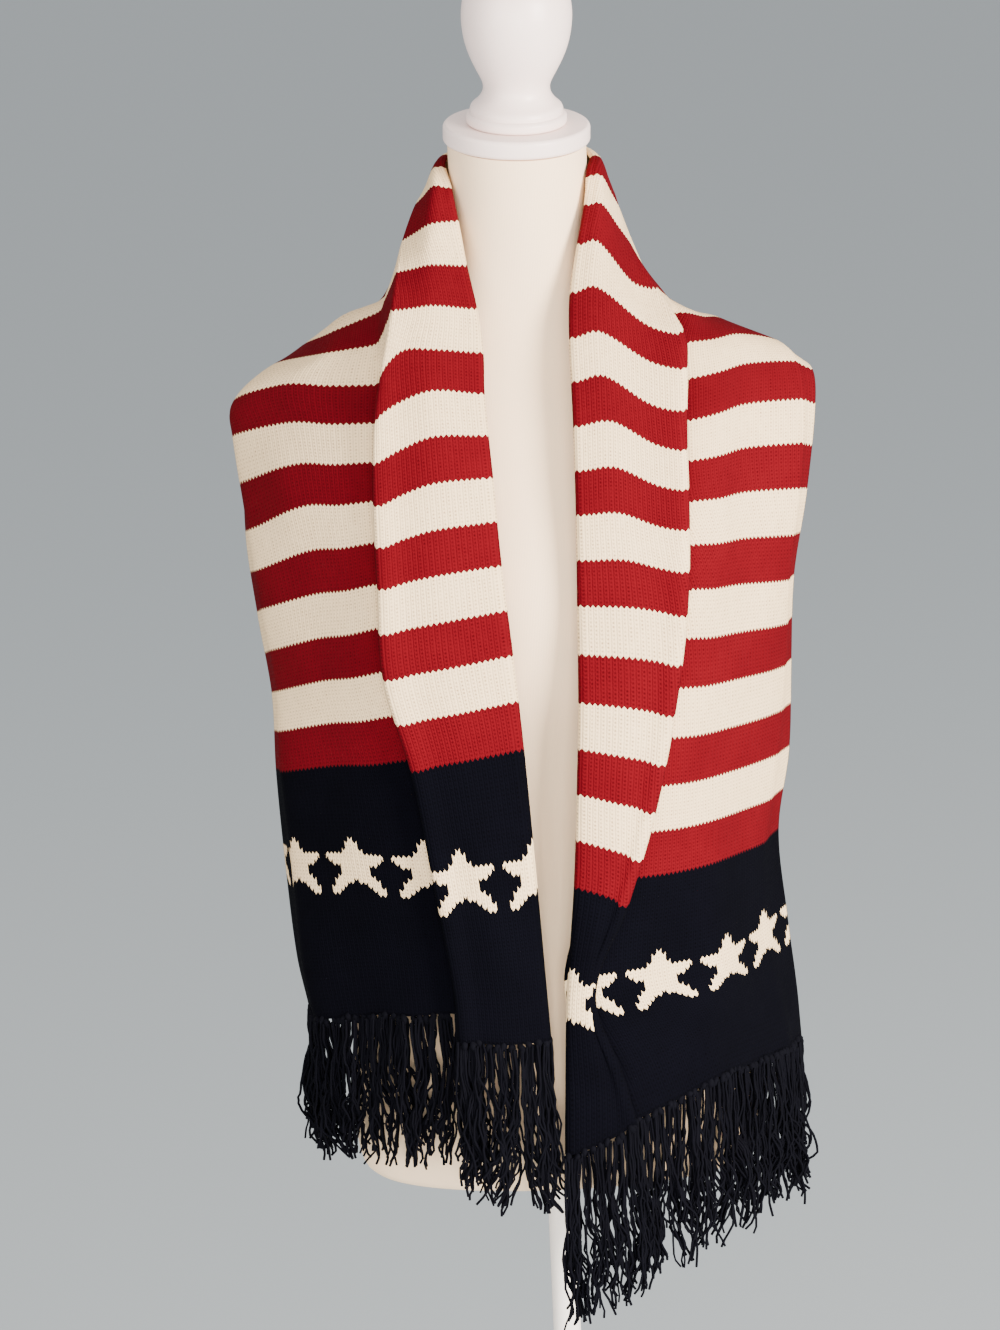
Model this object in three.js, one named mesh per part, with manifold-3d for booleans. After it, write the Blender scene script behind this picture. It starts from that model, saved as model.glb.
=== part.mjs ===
// Knit scarf worn as a shawl on a limbless dress form, with the form's stand.
// Millimetres, +Z up, the front faces -Y, x < 0 is the viewer's left, floor at z = 0.
import * as THREE from "three";
import Module from "manifold-3d";

// ---- the knitted strip ----
const WALE = 3.95;            // width of one stitch column
const ROW = 3.04;             // height of one course
const WALES = 80;             // stitch columns across the strip
const END_ROWS = 68;          // dark courses at the left end
const RIGHT_END_ROWS = 57;    // dark courses at the right end
const STRIPE_ROWS = 12;       // courses in one stripe
const STRIPES = 37;           // stripes between the dark ends
const ROWS = END_ROWS + STRIPES * STRIPE_ROWS + RIGHT_END_ROWS;
const WALL = 2.6;             // thickness of the knit
const GAP = 0.3;              // left open where two nodes of the strip meet
const LEFT_PART = 164;        // course where the left front meets the neck stretch
const RIGHT_PART = 177;       // the same, counted from the right hem
const PARTINGS = [LEFT_PART, ROWS - RIGHT_PART];

// ---- fringe ----
const LOCKS = 48;             // knotted locks along one hem
const LOCK_R = 1.5;
const LEFT_FRINGE = [126, 95];    // hanging length at the inner and the outer end of the hem
const RIGHT_FRINGE = [128, 110];
const HEM_STRIP = 4;          // height of the strip the locks are knotted into

// ---- dress form and stand ----
const NECK_TOP = 1500;
const LEAN_Y = 0.135;         // the neck plane tips forward
const LEAN_X = -0.040;        // and a little to one side
const CAP_R = 55.25;
const CAP_H = 14;
const POLE_R = 11;
const FORM_BOTTOM = 693;
const FLANGE_R = 40;
const FLANGE_H = 5;
const BASE_R = 170;
const BASE_H = 12;
const COLLAR_R = 24;
const COLLAR_H = 34;

// The strip is set out as sections, one for each course named by `row` (counted from its own hem).
// x is measured outward from the middle of the front. Each section names its creases in order:
// roll (inner edge turned under), crown (middle of the neck-side band), fold (edge of the band),
// out (where the cloth comes out from under the band), mid, side (widest) and edge.
// The last number of a crease is the wale there. `tuck` is how far the cloth runs under the band,
// and `dip` slides the band up or down its slope, halfway from crown to fold and close to the fold.
const LEFT = [
  { row: 0, roll: [5, -131, 834], crown: [38, -135, 833], fold: [73, -131, 836, 25], tuck: 10,
    out: [78, -114, 853, 34], mid: [135, -80, 843, 51], side: [183, -38, 827, 67], edge: [192, 12, 822] },
  { row: 14, roll: [7, -132, 878], crown: [41, -136, 877], fold: [75, -132, 878, 25], tuck: 11,
    out: [80, -115, 892, 34], mid: [139, -80, 884, 51], side: [189, -38, 870, 67], edge: [199, 12, 864] },
  { row: 41.5, roll: [11, -134, 966], crown: [48, -138, 964], fold: [86, -133, 960, 25], tuck: 12,
    out: [88, -116, 967, 34], mid: [148, -80, 962.5, 51], side: [193, -38, 952, 67], edge: [204, 10, 945] },
  { row: 68, roll: [16, -136, 1064], crown: [58, -139, 1058], fold: [99, -134, 1051, 25], tuck: 12,
    out: [101, -115, 1054, 33.5], mid: [155, -78, 1042, 51], side: [198, -36, 1027, 66], edge: [207, 15, 1015] },
  { row: 92, roll: [21, -137, 1137], crown: [66, -140, 1130], fold: [116, -134, 1122, 25], tuck: 12,
    out: [116, -114, 1123, 33], mid: [163, -76, 1108, 50], side: [198, -32, 1090, 65], edge: [207, 20, 1075] },
  { row: 116, roll: [26.5, -134, 1205], crown: [73, -137, 1200], fold: [117, -132, 1191, 25], tuck: 12,
    out: [118, -113, 1190, 33], mid: [167, -75, 1175, 50], side: [206, -30, 1155, 64], edge: [215, 28, 1138] },
  { row: 140, roll: [30, -122, 1269], crown: [72, -125, 1267], fold: [117, -122, 1252, 25], tuck: 11,
    out: [118, -104, 1251, 32.5], mid: [170, -70, 1242, 48], side: [213, -24, 1216, 63], edge: [221, 38, 1200] },
  { row: 164, roll: [33.5, -102, 1328], crown: [70, -103, 1332], fold: [114, -105, 1309, 25], tuck: 8, dip: [5, 7],
    out: [116, -85, 1306, 32.5], mid: [178, -41, 1300, 48], side: [223, 6, 1283, 63], edge: [219, 66, 1258] },
  { row: 176, roll: [33, -88, 1356], crown: [68, -89, 1360], fold: [109, -92, 1338, 25], tuck: 5, dip: [12, 11],
    out: [114, -66, 1331, 32.5], mid: [183, -19, 1325, 48], side: [223, 16, 1308, 61], edge: [211, 76, 1264] },
  { row: 188, roll: [36, -73, 1386], crown: [67, -74, 1390], fold: [98, -72, 1387, 22], tuck: 1,
    out: [111, -46, 1358, 32.5], mid: [152, -26, 1349, 44], side: [196, 30, 1330, 62], edge: [190, 92, 1262] },
  { row: 200, roll: [42, -57, 1416], crown: [67, -58, 1418], fold: [93, -50, 1412, 20], tuck: 0,
    out: [106, -18, 1379, 32], mid: [142, 8, 1361, 44], side: [172, 55, 1334, 60], edge: [165, 103, 1254] },
  { row: 212, roll: [47, -41, 1447], crown: [66, -43, 1446], fold: [88, -24, 1431, 18], tuck: 0,
    out: [100, 14, 1386, 31], mid: [121, 46, 1361, 43], side: [138, 80, 1325, 59], edge: [132, 112, 1243] },
  { row: 224, roll: [51, -27, 1470], crown: [63, -27, 1472], fold: [77, -8, 1456, 14], tuck: 0,
    out: [93, 36, 1403, 30], mid: [102, 66, 1368, 42], side: [104, 94, 1324, 58], edge: [98, 119, 1231] },
  { row: 242, roll: [54.6, 2, 1487], crown: [61, 3, 1485], fold: [70, 22, 1456, 12], tuck: 0,
    out: [76, 62, 1396, 29], mid: [76, 84, 1358, 41], side: [71, 105, 1318, 57], edge: [64, 122, 1218] },
  { row: 260, roll: [40.6, 41.6, 1489], crown: [44, 47, 1487], fold: [46, 57, 1452, 12], tuck: 0,
    out: [46, 82, 1390, 29], mid: [45, 98, 1353, 41], side: [42, 113, 1314, 57], edge: [35, 123, 1209] },
  { row: 277, roll: [0, 59, 1490], crown: [0, 63.5, 1488], fold: [0, 70, 1452, 12], tuck: 0,
    out: [0, 90, 1388, 29], mid: [0, 104, 1350, 41], side: [0, 116, 1310, 57], edge: [0, 120, 1206] },
];
const RIGHT = [
  { row: 0, roll: [4, -131, 741], crown: [30, -136, 750], fold: [58, -133, 763, 16], tuck: 3,
    out: [62, -122, 765, 19.5], mid: [126, -84, 782, 38], side: [182, 2, 770, 63], edge: [197, 50, 763] },
  { row: 10.3, roll: [6, -132, 785], crown: [30, -137, 793], fold: [49, -134, 803, 14], tuck: 6,
    out: [52, -122, 807, 20.5], mid: [122, -84, 822, 41], side: [174, -4, 813, 65], edge: [194, 42, 807] },
  { row: 30.5, roll: [10, -133, 863], crown: [24, -138, 866], fold: [30, -134, 868, 11], tuck: 18,
    out: [34, -123, 869, 22.5], mid: [130, -81, 871, 50], side: [165, -24, 871, 67], edge: [187, 24, 872] },
  { row: 57, roll: [19, -134, 954], crown: [38, -139, 949], fold: [57, -135, 939, 12], tuck: 26,
    out: [60, -124, 956, 28], mid: [125, -84, 953, 48], side: [165, -16, 946, 67], edge: [182, 28, 944] },
  { row: 81, roll: [24, -135, 1027], crown: [52, -139, 1020], fold: [80, -136, 1011, 16.5], tuck: 28,
    out: [83, -121, 1026, 33], mid: [136, -74, 1020, 51], side: [177, -14, 1015, 69], edge: [192, 24, 1012] },
  { row: 105, roll: [28, -135, 1098], crown: [60, -139, 1094], fold: [97, -135, 1085, 19], tuck: 32,
    out: [100, -116, 1100, 37], mid: [146, -76, 1094, 52], side: [186, -16, 1087, 70], edge: [195, 18, 1084] },
  { row: 129, roll: [30, -134, 1172], crown: [66, -138, 1170], fold: [109, -134, 1161, 22], tuck: 36,
    out: [112, -113, 1175, 42], mid: [151, -75, 1168, 56], side: [190, -28, 1158, 71], edge: [198, 6, 1154] },
  { row: 153, roll: [32, -128, 1239], crown: [62, -131, 1240], fold: [113, -131, 1226, 25.5], tuck: 42, dip: [-3, -0.5],
    out: [115, -109, 1241, 49], mid: [158, -72, 1238, 63], side: [199, -36, 1231, 75], edge: [208.5, -14, 1226] },
  { row: 177, roll: [33, -111, 1302], crown: [60, -113, 1305], fold: [114, -119, 1284, 26], tuck: 40, dip: [-5, -1],
    out: [117, -86, 1297, 50], mid: [162, -48, 1300, 64], side: [206, -10, 1294, 76], edge: [218, 6, 1287] },
  { row: 189, roll: [33, -98, 1333], crown: [56, -100, 1337], fold: [115, -109, 1312, 26.5], tuck: 34, dip: [-7, -1.5],
    out: [118, -64, 1324, 50], mid: [165, -24, 1326, 64], side: [202, 4, 1321, 75.5], edge: [218, 18, 1311] },
  { row: 201, roll: [33, -84, 1363], crown: [55, -86, 1367], fold: [117, -97, 1341, 27], tuck: 22, dip: [-7, -1.5],
    out: [119, -45, 1348, 50], mid: [162, -5, 1345, 64], side: [192, 24, 1334, 76], edge: [208, 42, 1314] },
  { row: 213, roll: [35, -68, 1394], crown: [54, -70, 1398], fold: [116, -84, 1365, 28], tuck: 6, dip: [-9, -2],
    out: [121, -18, 1366, 48], mid: [150, 24, 1353, 62], side: [176, 54, 1332, 74], edge: [186, 76, 1298] },
  { row: 225, roll: [42, -52, 1427], crown: [56, -53, 1429], fold: [99, -50, 1391, 25], tuck: 0, dip: [-10, -4],
    out: [111, 2, 1373, 43], mid: [138, 42, 1351, 56], side: [152, 76, 1322, 70], edge: [156, 102, 1262] },
  { row: 237, roll: [49, -35, 1455], crown: [60, -36, 1456], fold: [80, -20, 1423, 18], tuck: 0,
    out: [99, 24, 1381, 35], mid: [114, 58, 1354, 48], side: [120, 89, 1318, 64], edge: [121, 113, 1243] },
  { row: 249, roll: [52, -20, 1477], crown: [61, -19, 1477], fold: [73, 0, 1449, 13], tuck: 0,
    out: [89, 42, 1396, 31], mid: [97, 71, 1361, 43], side: [98, 98, 1318, 59], edge: [93, 119, 1231] },
  { row: 263, roll: [54.6, 4, 1486], crown: [61, 6, 1484], fold: [69, 24, 1454, 12], tuck: 0,
    out: [76, 64, 1394, 29], mid: [76, 86, 1356, 41], side: [71, 106, 1317, 57], edge: [63, 122, 1218] },
  { row: 278, roll: [40.6, 41.6, 1489], crown: [44, 47, 1487], fold: [46, 57, 1452, 12], tuck: 0,
    out: [46, 82, 1390, 29], mid: [45, 98, 1353, 41], side: [42, 113, 1314, 57], edge: [35, 123, 1209] },
  { row: 292, roll: [0, 59, 1490], crown: [0, 63.5, 1488], fold: [0, 70, 1452, 12], tuck: 0,
    out: [0, 90, 1388, 29], mid: [0, 104, 1350, 41], side: [0, 116, 1310, 57], edge: [0, 120, 1206] },
];

// half width, front depth and back depth of the dress form at each height; pinch thins the shoulder ends
const FORM = [
  { z: 693, half: 140, front: 82, back: 79, pinch: -0.3 },
  { z: 696, half: 150, front: 90, back: 86, pinch: -0.3 },
  { z: 703, half: 156, front: 96, back: 92, pinch: -0.28 },
  { z: 715, half: 159, front: 101, back: 97, pinch: -0.18 },
  { z: 738, half: 160, front: 104, back: 101, pinch: -0.06 },
  { z: 780, half: 160, front: 106, back: 103, pinch: 0 },
  { z: 850, half: 153, front: 103, back: 101, pinch: 0 },
  { z: 930, half: 141, front: 97, back: 90, pinch: 0 },
  { z: 1000, half: 128, front: 93, back: 81, pinch: 0 },
  { z: 1060, half: 129, front: 97, back: 80, pinch: 0 },
  { z: 1115, half: 140, front: 109, back: 85, pinch: 0 },
  { z: 1165, half: 151, front: 116, back: 90, pinch: 0 },
  { z: 1215, half: 167, front: 110, back: 94, pinch: 0.2 },
  { z: 1250, half: 188, front: 99, back: 96, pinch: 0.5 },
  { z: 1275, half: 200, front: 90, back: 93, pinch: 0.7 },
  { z: 1295, half: 203, front: 83, back: 88, pinch: 0.8 },
  { z: 1311, half: 196, front: 76, back: 83, pinch: 0.8 },
  { z: 1326, half: 179, front: 69, back: 77, pinch: 0.8 },
  { z: 1341, half: 162, front: 63, back: 71, pinch: 0.8 },
  { z: 1356, half: 134, front: 58, back: 65, pinch: 0.8 },
  { z: 1371, half: 104, front: 54, back: 61, pinch: 0.6 },
  { z: 1386, half: 79, front: 53, back: 58, pinch: 0.3 },
  { z: 1402, half: 63, front: 52.5, back: 55, pinch: 0 },
  { z: 1422, half: 54.5, front: 52.5, back: 54, pinch: 0 },
  { z: 1450, half: 52, front: 53, back: 54, pinch: 0 },
  { z: 1476, half: 52, front: 54, back: 54, pinch: 0 },
  { z: NECK_TOP, half: 52, front: 54, back: 54, pinch: 0 },
];

// turned profiles: radius and height above the part's own seat
const CAP_PROFILE = [[0, 0], [53.4, 0], [CAP_R, 2], [CAP_R, 12], [53.6, CAP_H], [0, CAP_H]];
const FINIAL_PROFILE = [[0, 0], [36.4, 0], [37.8, 1.6], [37.8, 6.2], [36.4, 8], [34.6, 8.6], [35, 11],
  [33.8, 14], [29.4, 18], [26, 23], [25, 28], [26.2, 33], [30.2, 41], [35.4, 52], [39.2, 64], [41.1, 77],
  [41, 88], [38.8, 99], [34, 109], [26.6, 117.5], [16.6, 123.8], [6.4, 126.8], [0, 127.2]];

// ---- small helpers ----
const lerp = (a, b, t) => a + (b - a) * t;
const mix3 = (p, q, t) => [lerp(p[0], q[0], t), lerp(p[1], q[1], t), lerp(p[2], q[2], t)];
const dist = (p, q) => Math.hypot(p[0] - q[0], p[1] - q[1], p[2] - q[2]);

// smooth curve through p1..p2 with neighbours p0, p3 placed at knots k0..k3
function smooth(p0, p1, p2, p3, k0, k1, k2, k3, k) {
  return p1.map((_, i) => {
    const m1 = (p2[i] - p0[i]) / (k2 - k0);
    const m2 = (p3[i] - p1[i]) / (k3 - k1);
    const h = k2 - k1;
    const t = (k - k1) / h;
    const a = 2 * t * t * t - 3 * t * t + 1;
    const b = t * t * t - 2 * t * t + t;
    const c = -2 * t * t * t + 3 * t * t;
    const d = t * t * t - t * t;
    return a * p1[i] + b * h * m1 + c * p2[i] + d * h * m2;
  });
}

function through(points, knots, k) {
  const n = points.length;
  let i = 0;
  while (i < n - 2 && k > knots[i + 1]) i += 1;
  const a = Math.max(i - 1, 0);
  const d = Math.min(i + 2, n - 1);
  const k0 = a === i ? knots[i] - (knots[i + 1] - knots[i]) : knots[a];
  const k3 = d === i + 1 ? knots[i + 1] + (knots[i + 1] - knots[i]) : knots[d];
  const p0 = a === i ? mix3(points[i + 1], points[i], 2) : points[a];
  const p3 = d === i + 1 ? mix3(points[i], points[i + 1], 2) : points[d];
  return smooth(p0, points[i], points[i + 1], p3, k0, knots[i], knots[i + 1], k3, k);
}

// ---- one section of the strip: sixteen crease points in order from the inner edge ----
function creases(cut, sign) {
  const { roll, crown, fold, out, mid, side, edge, tuck, dip = [0, 0] } = cut;
  const under = Math.min(1, tuck / 6);
  const gapY = out[1] - fold[1];
  const pts = [];
  const back = roll[1] < 40 ? 1 : 0;
  pts.push([roll[0] + 4.5 * back, roll[1] + lerp(-1, 8, back), roll[2] - lerp(9, 1, back)]);
  pts.push(roll);
  pts.push(mix3(mix3(roll, crown, 0.28), [roll[0] + 4, crown[1] + 0.6, roll[2]], 0.6 * back));
  pts.push(crown);
  pts.push(mix3(crown, fold, 0.55));
  pts.push(mix3(mix3(crown, fold, 0.9), [fold[0] - 5, fold[1] - 2.6, fold[2]], under));
  pts.push(fold);
  const zAt = (t) => lerp(fold[2], out[2], t);
  const deep = Math.min(4.4, gapY * 0.3);
  pts.push(mix3(mix3(fold, out, 0.25), [fold[0] - 4, fold[1] + deep, zAt(0.2)], under));
  pts.push(mix3(mix3(fold, out, 0.45), [fold[0] - tuck, fold[1] + deep + 0.8, zAt(0.4)], under));
  pts.push(mix3(mix3(fold, out, 0.6), [fold[0] - tuck - 3, lerp(fold[1] + deep, out[1], 0.55), zAt(0.5)], under));
  pts.push(mix3(mix3(fold, out, 0.75), [fold[0] - tuck, out[1] - 1.2, zAt(0.65)], under));
  pts.push(out);
  pts.push(mix3(out, mid, 0.5));
  pts.push(mid);
  pts.push(side);
  pts.push(mix3(side, edge, 0.5));
  pts.push(edge);
  dip.forEach((slide, k) => {
    pts[4 + k][1] += slide * 0.45;
    pts[4 + k][2] += slide;
  });
  pts[12][1] -= 5 * under;
  const wale = new Array(pts.length).fill(null);
  wale[0] = 0;
  wale[6] = fold[3];
  wale[11] = out[3];
  wale[13] = mid[3];
  wale[14] = side[3];
  wale[pts.length - 1] = WALES;
  let from = 0;
  for (let i = 1; i < pts.length; i += 1) {
    if (wale[i] === null) continue;
    let whole = 0;
    for (let j = from; j < i; j += 1) whole += dist(pts[j], pts[j + 1]);
    let run = 0;
    for (let j = from + 1; j < i; j += 1) {
      run += dist(pts[j - 1], pts[j]);
      wale[j] = lerp(wale[from], wale[i], run / whole);
    }
    from = i;
  }
  return pts.map((p, i) => [sign * p[0], p[1], p[2], wale[i]]);
}

const STEPS = [1, 1, 2, 2, 2, 1, 1, 2, 2, 2, 1, 2, 2, 3, 2, 1];

function across(pts) {
  const knots = [0];
  for (let i = 1; i < pts.length; i += 1) knots.push(knots[i - 1] + Math.pow(dist(pts[i - 1], pts[i]), 0.6));
  const xyz = pts.map((p) => p.slice(0, 3));
  const line = [];
  for (let i = 0; i < pts.length - 1; i += 1) {
    for (let j = 0; j < STEPS[i]; j += 1) {
      const t = j / STEPS[i];
      const p = through(xyz, knots, lerp(knots[i], knots[i + 1], t));
      line.push([...p, lerp(pts[i][3], pts[i + 1][3], t)]);
    }
  }
  line.push([...pts[pts.length - 1]]);
  return line;
}

// the whole strip as section lines, course numbers counted from the left hem
function strip() {
  const all = [];
  for (const cut of LEFT) all.push({ row: cut.row, line: across(creases(cut, -1)) });
  for (const cut of RIGHT.slice(0, -1).reverse()) {
    all.push({ row: ROWS - cut.row, line: across(creases(cut, 1)) });
  }
  return all;
}
const STRIP = strip();
const COLS = STRIP[0].line.length;

function lineAt(row) {
  const knots = STRIP.map((s) => s.row);
  return Array.from({ length: COLS }, (_, c) => through(STRIP.map((s) => s.line[c]), knots, row));
}

// unit normals of the middle surface along one course
function normalsAt(row, line) {
  const before = lineAt(Math.max(row - 1, 0));
  const after = lineAt(Math.min(row + 1, ROWS));
  return line.map((_, c) => {
    const a = before[c];
    const b = after[c];
    const d = line[Math.max(c - 1, 0)];
    const e = line[Math.min(c + 1, COLS - 1)];
    const u = new THREE.Vector3(b[0] - a[0], b[1] - a[1], b[2] - a[2]);
    const v = new THREE.Vector3(e[0] - d[0], e[1] - d[1], e[2] - d[2]);
    return u.cross(v).normalize();
  });
}

// a closed wall of even thickness on a grid of middle points
function wall(rowList) {
  const grid = rowList.map(lineAt);
  const norm = grid.map((line, r) => {
    const seam = PARTINGS.find((row) => Math.abs(row - rowList[r]) < 1);
    return seam === undefined ? normalsAt(rowList[r], line) : normalsAt(seam, lineAt(seam));
  });
  const pos = [];
  for (const s of [1, -1]) {
    grid.forEach((line, r) => line.forEach((p, c) => {
      const n = norm[r][c];
      pos.push(p[0] + s * n.x * WALL / 2, p[1] + s * n.y * WALL / 2, p[2] + s * n.z * WALL / 2);
    }));
  }
  const R = grid.length;
  const at = (s, r, c) => s * R * COLS + r * COLS + c;
  const idx = [];
  for (let r = 0; r < R - 1; r += 1) {
    for (let c = 0; c < COLS - 1; c += 1) {
      idx.push(at(0, r, c), at(0, r + 1, c), at(0, r + 1, c + 1));
      idx.push(at(0, r, c), at(0, r + 1, c + 1), at(0, r, c + 1));
      idx.push(at(1, r, c), at(1, r + 1, c + 1), at(1, r + 1, c));
      idx.push(at(1, r, c), at(1, r, c + 1), at(1, r + 1, c + 1));
    }
  }
  const rim = [];
  for (let c = 0; c < COLS; c += 1) rim.push([0, c]);
  for (let r = 1; r < R; r += 1) rim.push([r, COLS - 1]);
  for (let c = COLS - 2; c >= 0; c -= 1) rim.push([R - 1, c]);
  for (let r = R - 2; r > 0; r -= 1) rim.push([r, 0]);
  for (let i = 0; i < rim.length; i += 1) {
    const [r0, c0] = rim[i];
    const [r1, c1] = rim[(i + 1) % rim.length];
    if (c1 < c0) {
      idx.push(at(0, r0, c0), at(0, r1, c1), at(1, r0, c0));
      idx.push(at(0, r1, c1), at(1, r1, c1), at(1, r0, c0));
    } else {
      idx.push(at(0, r0, c0), at(0, r1, c1), at(1, r1, c1));
      idx.push(at(0, r0, c0), at(1, r1, c1), at(1, r0, c0));
    }
  }
  return outward(pos, idx);
}

function outward(pos, idx) {
  let vol = 0;
  for (let i = 0; i < idx.length; i += 3) {
    const [a, b, c] = [idx[i] * 3, idx[i + 1] * 3, idx[i + 2] * 3];
    vol += pos[a] * (pos[b + 1] * pos[c + 2] - pos[b + 2] * pos[c + 1])
      - pos[a + 1] * (pos[b] * pos[c + 2] - pos[b + 2] * pos[c])
      + pos[a + 2] * (pos[b] * pos[c + 1] - pos[b + 1] * pos[c]);
  }
  if (vol < 0) {
    for (let i = 0; i < idx.length; i += 3) [idx[i + 1], idx[i + 2]] = [idx[i + 2], idx[i + 1]];
  }
  const g = new THREE.BufferGeometry();
  g.setAttribute("position", new THREE.Float32BufferAttribute(pos, 3));
  g.setIndex(idx);
  return g;
}

// courses where the sections of a stretch are cut, two to each gap between named sections
function rowsBetween(from, to) {
  const list = [from];
  for (let i = 0; i < STRIP.length - 1; i += 1) {
    const a = STRIP[i].row;
    const b = STRIP[i + 1].row;
    for (const k of [0.5, 1]) {
      const row = lerp(a, b, k);
      if (row > from + 2 && row < to - 2) list.push(row);
    }
  }
  list.push(to);
  return list;
}

// ---- solids made of rings of equal count, closed top and bottom ----
function rings(list, capA, capB) {
  const n = list[0].length;
  const pos = list.flat(2);
  const idx = [];
  for (let r = 0; r < list.length - 1; r += 1) {
    for (let i = 0; i < n; i += 1) {
      const j = (i + 1) % n;
      idx.push(r * n + i, r * n + j, (r + 1) * n + j, r * n + i, (r + 1) * n + j, (r + 1) * n + i);
    }
  }
  const a = pos.length / 3;
  pos.push(...capA);
  const b = a + 1;
  pos.push(...capB);
  const top = (list.length - 1) * n;
  for (let i = 0; i < n; i += 1) {
    const j = (i + 1) % n;
    idx.push(a, j, i, b, top + i, top + j);
  }
  return outward(pos, idx);
}

function turned(profile, sides) {
  const rim = profile.slice(1, -1);
  const list = rim.map(([r, z]) => Array.from({ length: sides }, (_, i) => {
    const a = (i / sides) * 2 * Math.PI;
    return [r * Math.cos(a), r * Math.sin(a), z];
  }));
  return rings(list, [0, 0, profile[0][1]], [0, 0, profile[profile.length - 1][1]]);
}

function neckPlane(x, y) {
  return y * LEAN_Y + x * LEAN_X;
}

function torso() {
  const sides = 40;
  const list = [];
  for (const { z, half, front, back, pinch } of FORM) {
    const lean = Math.max(0, Math.min(1, (z - 1450) / (NECK_TOP - 1450)));
    list.push(Array.from({ length: sides }, (_, i) => {
      const a = (i / sides) * 2 * Math.PI;
      const x = half * Math.cos(a);
      const y = Math.sign(Math.sin(a)) * Math.pow(Math.abs(Math.sin(a)), 1 + pinch) * (Math.sin(a) < 0 ? front : back);
      return [x, y, z + lean * neckPlane(x, y)];
    }));
  }
  return rings(list, [0, 0, FORM_BOTTOM], [0, 0, NECK_TOP]);
}

// parts that stand on the tipped neck plane
function onNeck(geometry, height) {
  const up = new THREE.Vector3(-LEAN_X, -LEAN_Y, 1).normalize();
  const turn = new THREE.Quaternion().setFromUnitVectors(new THREE.Vector3(0, 0, 1), up);
  geometry.applyQuaternion(turn);
  geometry.translate(up.x * height, up.y * height, NECK_TOP + up.z * height);
  return geometry;
}

// ---- fringe: locks rooted in a narrow strip that follows the hem ----
const noise = (i, k) => {
  const v = Math.sin(i * 12.9898 + k * 78.233) * 43758.5453;
  return v - Math.floor(v);
};

function hemLine(row) {
  const line = lineAt(row);
  const run = [0];
  for (let i = 1; i < line.length; i += 1) run.push(run[i - 1] + dist(line[i - 1], line[i]));
  return { line, run };
}

function pointOn(hem, at) {
  let i = 0;
  while (i < hem.run.length - 2 && hem.run[i + 1] < at) i += 1;
  const t = (at - hem.run[i]) / (hem.run[i + 1] - hem.run[i]);
  return mix3(hem.line[i], hem.line[i + 1], t);
}

function hemStrip(hem) {
  const pos = [];
  const n = hem.line.length;
  const side = hem.line.map((_, i) => {
    const a = hem.line[Math.max(i - 1, 0)];
    const b = hem.line[Math.min(i + 1, n - 1)];
    const v = new THREE.Vector3(b[0] - a[0], b[1] - a[1], 0).normalize();
    return [v.y, -v.x];
  });
  const half = WALL / 2 - 0.1;
  const list = hem.line.map((p, i) => {
    const top = p[2] - GAP - 0.5;
    return [
      [p[0] + side[i][0] * half, p[1] + side[i][1] * half, top],
      [p[0] - side[i][0] * half, p[1] - side[i][1] * half, top],
      [p[0] - side[i][0] * half, p[1] - side[i][1] * half, top - HEM_STRIP],
      [p[0] + side[i][0] * half, p[1] + side[i][1] * half, top - HEM_STRIP],
    ];
  });
  const mid = (ring) => ring[0].map((_, k) => ring.reduce((s, q) => s + q[k], 0) / 4);
  return rings(list, mid(list[0]), mid(list[n - 1]));
}

function lock(root, length, sway, seed, sides) {
  const list = [];
  const knots = 4;
  for (let j = 0; j <= knots; j += 1) {
    const t = j / knots;
    const drift = sway * t * t;
    const wave = Math.sin(t * 5 + seed * 6.28) * 1.1 * t;
    const r = LOCK_R * (j === 0 ? 0.8 : lerp(1, 0.55, t));
    list.push(Array.from({ length: sides }, (_, i) => {
      const a = (i / sides) * 2 * Math.PI + seed * 2;
      return [root[0] + drift + wave + r * Math.cos(a), root[1] + wave * 0.4 + r * Math.sin(a), root[2] - length * t];
    }));
  }
  const first = [root[0], root[1], root[2]];
  const end = list[knots].reduce((s, q) => [s[0] + q[0] / sides, s[1] + q[1] / sides, s[2] + q[2] / sides], [0, 0, 0]);
  return rings(list, first, end);
}

const wasm = await Module();
wasm.setup();

function solid(geometry) {
  const pos = geometry.getAttribute("position");
  return new wasm.Manifold(new wasm.Mesh({
    numProp: 3,
    vertProperties: new Float32Array(pos.array),
    triVerts: new Uint32Array(geometry.getIndex().array),
  }));
}

function fringe(row, lean, reach) {
  const hem = hemLine(row);
  let body = solid(hemStrip(hem));
  const whole = hem.run[hem.run.length - 1];
  for (let i = 0; i < LOCKS; i += 1) {
    const at = whole * (i + 0.5) / LOCKS;
    const p = pointOn(hem, at);
    const root = [p[0], p[1], p[2] - GAP - 2];
    const length = lerp(reach[0], reach[1], at / whole) * (0.9 + 0.16 * noise(i, 1));
    const sway = lean * (0.5 + 0.5 * Math.sin(at / 45)) + 2 * (noise(i, 2) - 0.5);
    body = body.add(solid(lock(root, length, sway, noise(i, 3), 3)));
  }
  const mesh = body.getMesh();
  const pos = Array.from(mesh.vertProperties);
  return outward(pos, Array.from(mesh.triVerts));
}

// ---- the whole part ----
const group = new THREE.Group();
group.name = "knit_scarf_on_dress_form_stand";

function add(name, geometry, colour) {
  const material = new THREE.MeshStandardMaterial({ color: colour, roughness: 0.85, metalness: 0 });
  const mesh = new THREE.Mesh(geometry, material);
  mesh.name = name;
  geometry.computeVertexNormals();
  group.add(mesh);
}

function shifted(geometry, z) {
  geometry.translate(0, 0, z);
  return geometry;
}

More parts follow.
